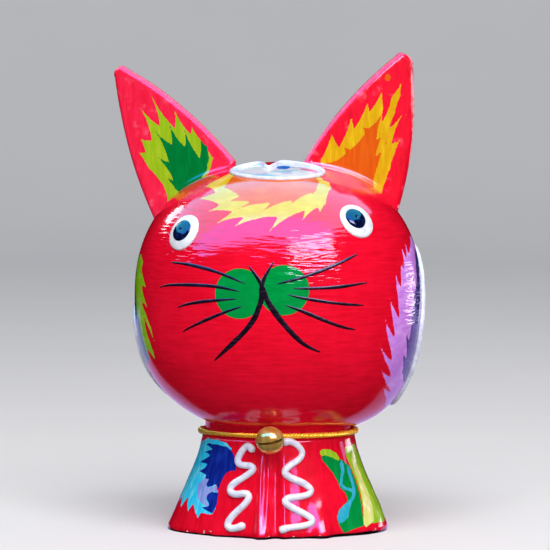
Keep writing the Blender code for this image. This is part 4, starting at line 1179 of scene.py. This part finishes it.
def edged(paint, under, colour, markName, edge, softness, strength=1.0):
    # A colour inside a painted outline, whose edge is ragged and as soft as given in mm
    return paint.over(under, colour, (paint.mark(markName) + edge).rise(-softness, softness) * strength)


def splashed(paint, under, splashes, edge, streaks):
    # Splashes laid one over another, each varying along its strokes
    for markName, paintName in splashes.items():
        colour = paint.over(*paints[paintName], streaks.rise(*redEnamel["splashTurn"]))
        under = edged(paint, under, colour, markName, edge, redEnamel["splashSoftness"])
    return under


def varnished(paint, colour, streaks, ridgeMm, brushed=None):
    # Gloss varnish with the brush's ridges in it, coarser and glossier where it was brushed again
    normal = paint.bump(streaks, ridgeMm)
    spread = redEnamel["roughSpread"]
    rough = paint.noise(redEnamel["roughNoise"], redEnamel["detail"]) * spread
    rough = rough + (redEnamel["roughness"] - spread / 2)
    if brushed is not None:
        coarse = paint.noise(redEnamel["brushedStrokes"], 1.0)
        normal = paint.bump(coarse * brushed, redEnamel["brushedRidge"], normal)
        rough = rough * (1 - brushed * redEnamel["brushedGloss"])
    grain, depth = redEnamel["fineGrain"]
    normal = paint.bump(paint.noise(grain), depth, normal)
    return paint.done({"Base Color": colour, "Roughness": rough, "Normal": normal})


headPaint = {  # stroke noises, how ragged and how soft edges are, and how much of a colour shows
    "dabs": (0.22, 0.22, 0.5), "noseRagged": 0.3, "whiteTurn": (0.4, 0.7),
    "looseDabs": {"cyan": 0.52, "lilac": 0.54}, "looseRise": 0.12, "looseDetail": 1.5,  # where dabs begin
    "heartRagged": 0.4, "heartSoftness": 0.1, "spotRagged": 2.0, "spotSoftness": 0.2,
    "spots": {"blueSpot": 1.0, "redSpot": 0.7},
}


def headEnamel():
    # Splashes, the nose, the hearts' white grounds with loose dabs, and two spots, laid one over another
    paint, strokes, edge, colour = startEnamel("head")
    dabs = paint.noise(headPaint["dabs"])
    colour = splashed(paint, colour, enamels["head"]["splashes"], edge, dabs)
    colour = splashed(paint, colour, {"noseDiscs": "noseGreen"}, edge * headPaint["noseRagged"], dabs)
    white = paint.over(*paints["white"], dabs.rise(*headPaint["whiteTurn"]))
    for name, heart in hearts.items():
        ground = white
        for dab, low in headPaint["looseDabs"].items():
            noise = paint.noise(heart[dab + "Strokes"], headPaint["looseDetail"])
            mask = noise.rise(low, low + headPaint["looseRise"])
            ground = paint.over(ground, singlePaints[dab + "Dab"], mask * heart["dabStrength"])
        ragged = edge * headPaint["heartRagged"]
        colour = edged(paint, colour, ground, name + "Ground", ragged, headPaint["heartSoftness"])
    ragged = edge * headPaint["spotRagged"]
    for spot, strength in headPaint["spots"].items():
        colour = edged(paint, colour, singlePaints[spot], spot, ragged, headPaint["spotSoftness"], strength)
    return varnished(paint, colour, strokes, enamels["head"]["ridge"], paint.mark("brushedVarnish"))


earWear = {  # noises with their detail, where they turn, and how much shows, for the paler pink patches and the rim's painted highlight
    "pinkPatch": (0.3, 3.0), "pinkPatchTurn": (0.56, 0.75), "pinkPatchShare": 0.22,
    "rimHighlight": (0.25, 3.0), "rimHighlightTurn": (0.3, 0.6), "rimHighlightShare": 0.75, "rimRagged": 1.5, "rimTurn": (-0.1, 0.5),
}


def earEnamel(side):
    # Paler pink patches under the splashes, and over them a pale rim that is a painted highlight, for the sky
    # that the rounded edge reflects
    name = side + "Ear"
    paint, strokes, edge, colour = startEnamel(name)
    # Paler pink patches, laid at random over the red
    pinkPatch = paint.noise(*earWear["pinkPatch"]).rise(*earWear["pinkPatchTurn"])
    colour = paint.over(colour, singlePaints["pinkPatch"], pinkPatch * earWear["pinkPatchShare"])
    colour = splashed(paint, colour, enamels[name]["splashes"], edge, strokes)
    # The pale pink rim is a painted highlight
    rim = (paint.mark("paintedRimHighlight") + edge * earWear["rimRagged"]).rise(*earWear["rimTurn"])
    rimHighlight = rim * paint.noise(*earWear["rimHighlight"]).rise(*earWear["rimHighlightTurn"])
    colour = paint.over(colour, singlePaints["rimHighlight"], rimHighlight * earWear["rimHighlightShare"])
    return varnished(paint, colour, strokes, enamels[name]["ridge"])


skirtWear = {  # the chips' noise and where it turns, the heights between which they fade, the sole's edge
    "chips": 0.42, "chipTurn": (0.655, 0.675), "chipFade": (0.9, 1.7), "soleTurn": (0.3, 0.7),
}


def skirtEnamel():
    # Splashes, chips of bare white along the foot's edge, and the dark sole
    paint, strokes, edge, colour = startEnamel("skirt")
    colour = splashed(paint, colour, enamels["skirt"]["splashes"], edge, strokes)
    height = paint.node("ShaderNodeSeparateXYZ", None, {0: paint.place}, output=2)
    low = 1 - height.rise(*skirtWear["chipFade"])
    chips = paint.noise(skirtWear["chips"]).rise(*skirtWear["chipTurn"]) * low
    colour = paint.over(colour, singlePaints["chip"], chips)
    colour = paint.over(colour, singlePaints["sole"], paint.mark("soleShare").rise(*skirtWear["soleTurn"]))
    return varnished(paint, colour, strokes, enamels["skirt"]["ridge"])


# Two colours and where one turns into the other; the noise that turns them, with its detail; the roughness
# as a spread times that noise and a least; the depth of the grain, and its own noise where it has one
plainFinishes = {
    "pipingPaint": {"colours": (shade(214, 214, 238), shade(236, 238, 250)), "turn": (0.3, 0.7),
                    "cloud": (0.5, 2.0), "rough": (0.15, 0.2), "depth": 0.02, "grain": 0.9},
    "eyeWhitePaint": {"colours": (shade(222, 226, 236), shade(237, 239, 246)), "turn": (0.3, 0.7),
                      "cloud": (0.4, 2.0), "rough": (0.1, 0.22), "depth": 0.008, "grain": 1.6},
    "blackGloss": {"colours": (shade(6, 12, 40), shade(12, 30, 84)), "turn": (0.4, 0.7),
                   "cloud": (0.9, 2.0), "rough": (0.05, 0.04), "depth": 0.006, "grain": 1.2},
    "blackStroke": {"colours": (shade(20, 10, 24), shade(44, 22, 44)), "turn": (0.4, 0.7),
                    "cloud": ((0.3, 0.3, 1.6), 2.0), "rough": (0.15, 0.18), "depth": 0.03},
    "goldThread": {"colours": (shade(240, 148, 6), shade(255, 224, 84)), "turn": (0.35, 0.65),
                   "cloud": ((6.0, 6.0, 2.0), 2.0), "rough": (0.2, 0.14), "depth": 0.03, "metallic": 0.5},
    "polishedBrass": {"colours": (shade(224, 168, 78), shade(242, 206, 120)), "turn": (0.35, 0.65),
                      "cloud": (0.5, 4.0), "rough": (0.2, 0.1), "depth": 0.01, "grain": 1.5,
                      "metallic": 0.62},
}


def plainFinish(name):
    # One noise turns the colour and the roughness, and the same or a finer one raises the grain
    look = plainFinishes[name]
    paint = Finish(name)
    cloud = paint.noise(*look["cloud"])
    colour = paint.over(*look["colours"], cloud.rise(*look["turn"]))
    grain = paint.noise(look["grain"]) if "grain" in look else cloud
    spread, least = look["rough"]
    return paint.done({"Base Color": colour, "Metallic": look.get("metallic", 0.0),
                       "Roughness": cloud * spread + least, "Normal": paint.bump(grain, look["depth"])})


# Stage, lights and camera

stage = {
    "innerRadius": 40.0, "flatRadius": 1700.0, "sweep": 900.0, "wall": 2600.0,
    "rows": 14, "columns": 96, "sweepFrom": 0.1,
    "colours": (shade(232, 232, 234), shade(238, 238, 239)), "cloud": (0.01, 3.0), "roughness": 0.9,
}


def makeStage():
    # A flat floor that sweeps up through a quarter circle into a round wall far behind
    bend = np.linspace(stage["sweepFrom"], np.pi / 2, stage["rows"])
    flat = np.linspace(stage["innerRadius"], stage["flatRadius"], stage["rows"])
    radius = np.concatenate([flat, stage["flatRadius"] + stage["sweep"] * np.sin(bend), [stage["wall"]]])
    height = np.concatenate([0 * flat, stage["sweep"] * (1 - np.cos(bend)), [stage["wall"]]])
    angle = roundAngles(stage["columns"])
    rings = np.stack([np.outer(radius, np.sin(angle)), np.outer(radius, -np.cos(angle)),
                      np.outer(height, np.ones_like(angle))], -1)
    points = np.concatenate([rings.reshape(-1, 3), np.zeros((1, 3))])
    quads, fans = ringFaces(len(radius), len(angle), False)
    faces = faceLists(quads[:, ::-1], fans[:len(angle), ::-1])
    paint = Finish("paleFloor")
    colour = paint.over(*stage["colours"], paint.noise(*stage["cloud"]))
    finish = paint.done({"Base Color": colour, "Roughness": stage["roughness"], "Specular IOR Level": 0.0})
    floor = addPiece("paleFloor", points, *faces, finish)
    floor.visible_glossy = False
    floor.visible_diffuse = False
    return floor


catMiddle = (0.0, 0.0, 0.08)  # metres
usualAim = (0.0, 0.0, 0.07)


def roundTheCat(azimuth, elevation, distance=1.3):
    # The place in metres that lies so far from the cat's middle, that way from it
    return way(azimuth, elevation) * distance + catMiddle


# Panels in metres that face their aims. Most show in diffuse light or in gloss alone.
lights = {
    "softKey": {"place": (0.15, -1.05, 1.2), "size": (1.3, 1.0), "radiance": 5.7, "colour": (1.0, 0.98, 0.97),
                "glossy": False},
    "frontFill": {"place": (0.75, -1.35, 0.45), "size": (1.2, 0.9), "radiance": 1.9,
                  "colour": (1.0, 0.98, 1.0), "glossy": False},
    "skyInFront": {"place": (-0.5, -0.8, 1.25), "aim": (-0.5, -0.8, 0.0), "size": (3.4, 0.9),
                   "radiance": 10.5, "colour": (0.03, 0.27, 1.0), "diffuse": False},
    "skyBehind": {"place": (-0.5, 0.35, 1.25), "aim": (-0.5, 0.35, 0.0), "size": (3.4, 1.4), "radiance": 5.5,
                  "colour": (0.04, 0.56, 1.0), "diffuse": False},
    "groundGloss": {"place": (0.0, 2.0, -0.95), "aim": (0.0, 0.0, -0.95), "size": (3.6, 1.7), "radiance": 0.6,
                    "colour": (0.6, 0.48, 1.0), "diffuse": False, "spread": 130.0},
    "streakGloss": {"place": roundTheCat(37.0, 33.0), "size": (0.9, 0.4), "radiance": 19.0,
                    "colour": (0.74, 0.68, 1.0), "diffuse": False},
    "rightGloss": {"place": roundTheCat(135.0, -0.5, 1.2), "size": (0.34, 0.17), "radiance": 6.0,
                   "colour": (0.95, 0.85, 1.0), "diffuse": False},
    "leftGloss": {"place": roundTheCat(-130.0, 28.0), "size": (0.22, 0.26), "radiance": 9.0,
                  "colour": (0.9, 0.85, 1.0), "diffuse": False},
    # The sky's sheen on the skirt's upright ridges, kept off the face above them, and warm glints on the cord
    "skirtGloss": {"place": roundTheCat(17.0, 24.0), "aim": (0.0, 0.0, 0.015), "size": (0.62, 0.72),
                   "radiance": 14.0, "colour": (0.2, 0.26, 1.0), "diffuse": False},
    "goldGlints": {"place": roundTheCat(30.0, 24.0), "aim": (0.0, 0.0, 0.03), "size": (1.5, 0.42),
                   "radiance": 8.0, "colour": (1.0, 0.88, 0.6)},
}
world = {"colour": (0.93, 0.95, 1.0, 1.0), "strength": 0.42}


def hangLight(name, pieces=()):
    # A rectangle of energy pi times radiance times area, for the given pieces alone if there are any
    panel = lights[name]
    light = bpy.data.lights.new(name, "AREA")
    light.shape = "RECTANGLE"
    light.size, light.size_y = panel["size"]
    light.energy = panel["radiance"] * np.pi * panel["size"][0] * panel["size"][1]
    light.color = panel["colour"]
    light.spread = np.radians(panel.get("spread", 180.0))
    lamp = bpy.data.objects.new(name, light)
    bpy.context.scene.collection.objects.link(lamp)
    place = np.array(panel["place"])
    back = unit(place - panel.get("aim", usualAim))
    right = unit(np.cross((0.0, 0.0, 1.0), back)) if abs(back[2]) < 0.99 else np.array([1.0, 0.0, 0.0])
    turned = Matrix(np.stack([right, np.cross(back, right), back], -1).tolist()).to_4x4()
    lamp.matrix_world = Matrix.Translation(place.tolist()) @ turned
    lamp.visible_camera = False
    lamp.visible_glossy = panel.get("glossy", True)
    lamp.visible_diffuse = panel.get("diffuse", True)
    if pieces:
        receivers = bpy.data.collections.new(name + "Pieces")
        for piece in pieces:
            receivers.objects.link(piece)
        lamp.light_linking.receiver_collection = receivers


def lightRoom():
    # An even pale surround, which shows in diffuse light and behind the stage but not in gloss
    room = bpy.data.worlds.new("paleRoom")
    bpy.context.scene.world = room
    room.use_nodes = True
    room.node_tree.nodes["Background"].inputs["Color"].default_value = world["colour"]
    room.node_tree.nodes["Background"].inputs["Strength"].default_value = world["strength"]
    room.cycles_visibility.glossy = False


view = {
    "turn": 5.0,          # degrees that the camera stands round towards the cat's left
    "dip": 2.82,          # degrees that it looks down
    "distance": 1.0, "height": 0.122, "sideStep": -0.001,  # metres
    "focalPixels": 3500.0, "imagePixels": 550.0, "sensor": 36.0, "clip": (0.01, 20.0),
}


def makeCamera():
    # The camera's own axes are right, right x ahead and -ahead
    turn = np.radians(view["turn"])
    dip = np.radians(view["dip"])
    right = np.array([np.cos(turn), np.sin(turn), 0.0])
    ahead = np.array([-np.sin(turn) * np.cos(dip), np.cos(turn) * np.cos(dip), -np.sin(dip)])
    place = np.array([np.sin(turn) * view["distance"], -np.cos(turn) * view["distance"], view["height"]])
    place = place + right * view["sideStep"]
    lens = bpy.data.cameras.new("camera")
    lens.sensor_width = view["sensor"]
    lens.lens = view["sensor"] * view["focalPixels"] / view["imagePixels"]
    lens.clip_start, lens.clip_end = view["clip"]
    camera = bpy.data.objects.new("camera", lens)
    bpy.context.scene.collection.objects.link(camera)
    turned = Matrix(np.stack([right, np.cross(right, ahead), -ahead], -1).tolist()).to_4x4()
    camera.matrix_world = Matrix.Translation(place.tolist()) @ turned
    bpy.context.scene.camera = camera


# Assembly

def stand(piece, slot, *nodes):
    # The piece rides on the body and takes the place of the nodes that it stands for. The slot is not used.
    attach(piece, "root")
    if nodes:
        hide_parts(*nodes)


makeCamera()
lightRoom()
for name in list(lights)[:-2]:  # the last two wait for their pieces
    hangLight(name)
makeStage()
bpy.context.scene.view_settings.view_transform = "Standard"
print("stage, lights and camera")

stand(makeHead(headEnamel()), "papier_mache", "cat_body")
skirtPiece = makeSkirt(skirtEnamel())
stand(skirtPiece, "papier_mache", "cat_body")
hangLight("skirtGloss", [skirtPiece])
for side in ("left", "right"):
    stand(makeEar(side, earEnamel(side)), "papier_mache", "cat_body")
print("head, skirt and ears")

white = plainFinish("pipingPaint")
for name, node, seed in (("crown", "crown_piping", 61), ("leftCheek", "left_cheek_piping", 66),
                         ("rightCheek", "right_cheek_piping", 71)):
    stand(makeHeartPiping(name + "Piping", hearts[name], white, seed), "bead_paint", node)
for name, node in (("leftLeg", "left_leg_piping"), ("rightLeg", "right_leg_piping")):
    stand(makeLegPiping(name + "Piping", legSquiggles[name], white, 81), "bead_paint", node)
print("piping")

eyeWhite = plainFinish("eyeWhitePaint")
pupilBlack = plainFinish("blackGloss")
for side in ("left", "right"):
    ball, pupil = makeEye(side, eyeWhite, pupilBlack)
    stand(ball, "eye_white", side + "_eye_white")
    stand(pupil, "pupil_paint", side + "_pupil")
strokeBlack = plainFinish("blackStroke")
for number, (name, stroke) in enumerate(strokes.items()):
    stand(makeStroke(name, stroke, strokeBlack, 91 + number), "pupil_paint")
print("eyes, mouth and whiskers")

cordPieces = makeCord(plainFinish("goldThread"))
for piece in cordPieces:
    stand(piece, "gold_thread", "neck_cord")
hangLight("goldGlints", cordPieces)
for piece in makeBell(plainFinish("polishedBrass")):
    stand(piece, "bell_brass", "bell")
print("cord and bell")
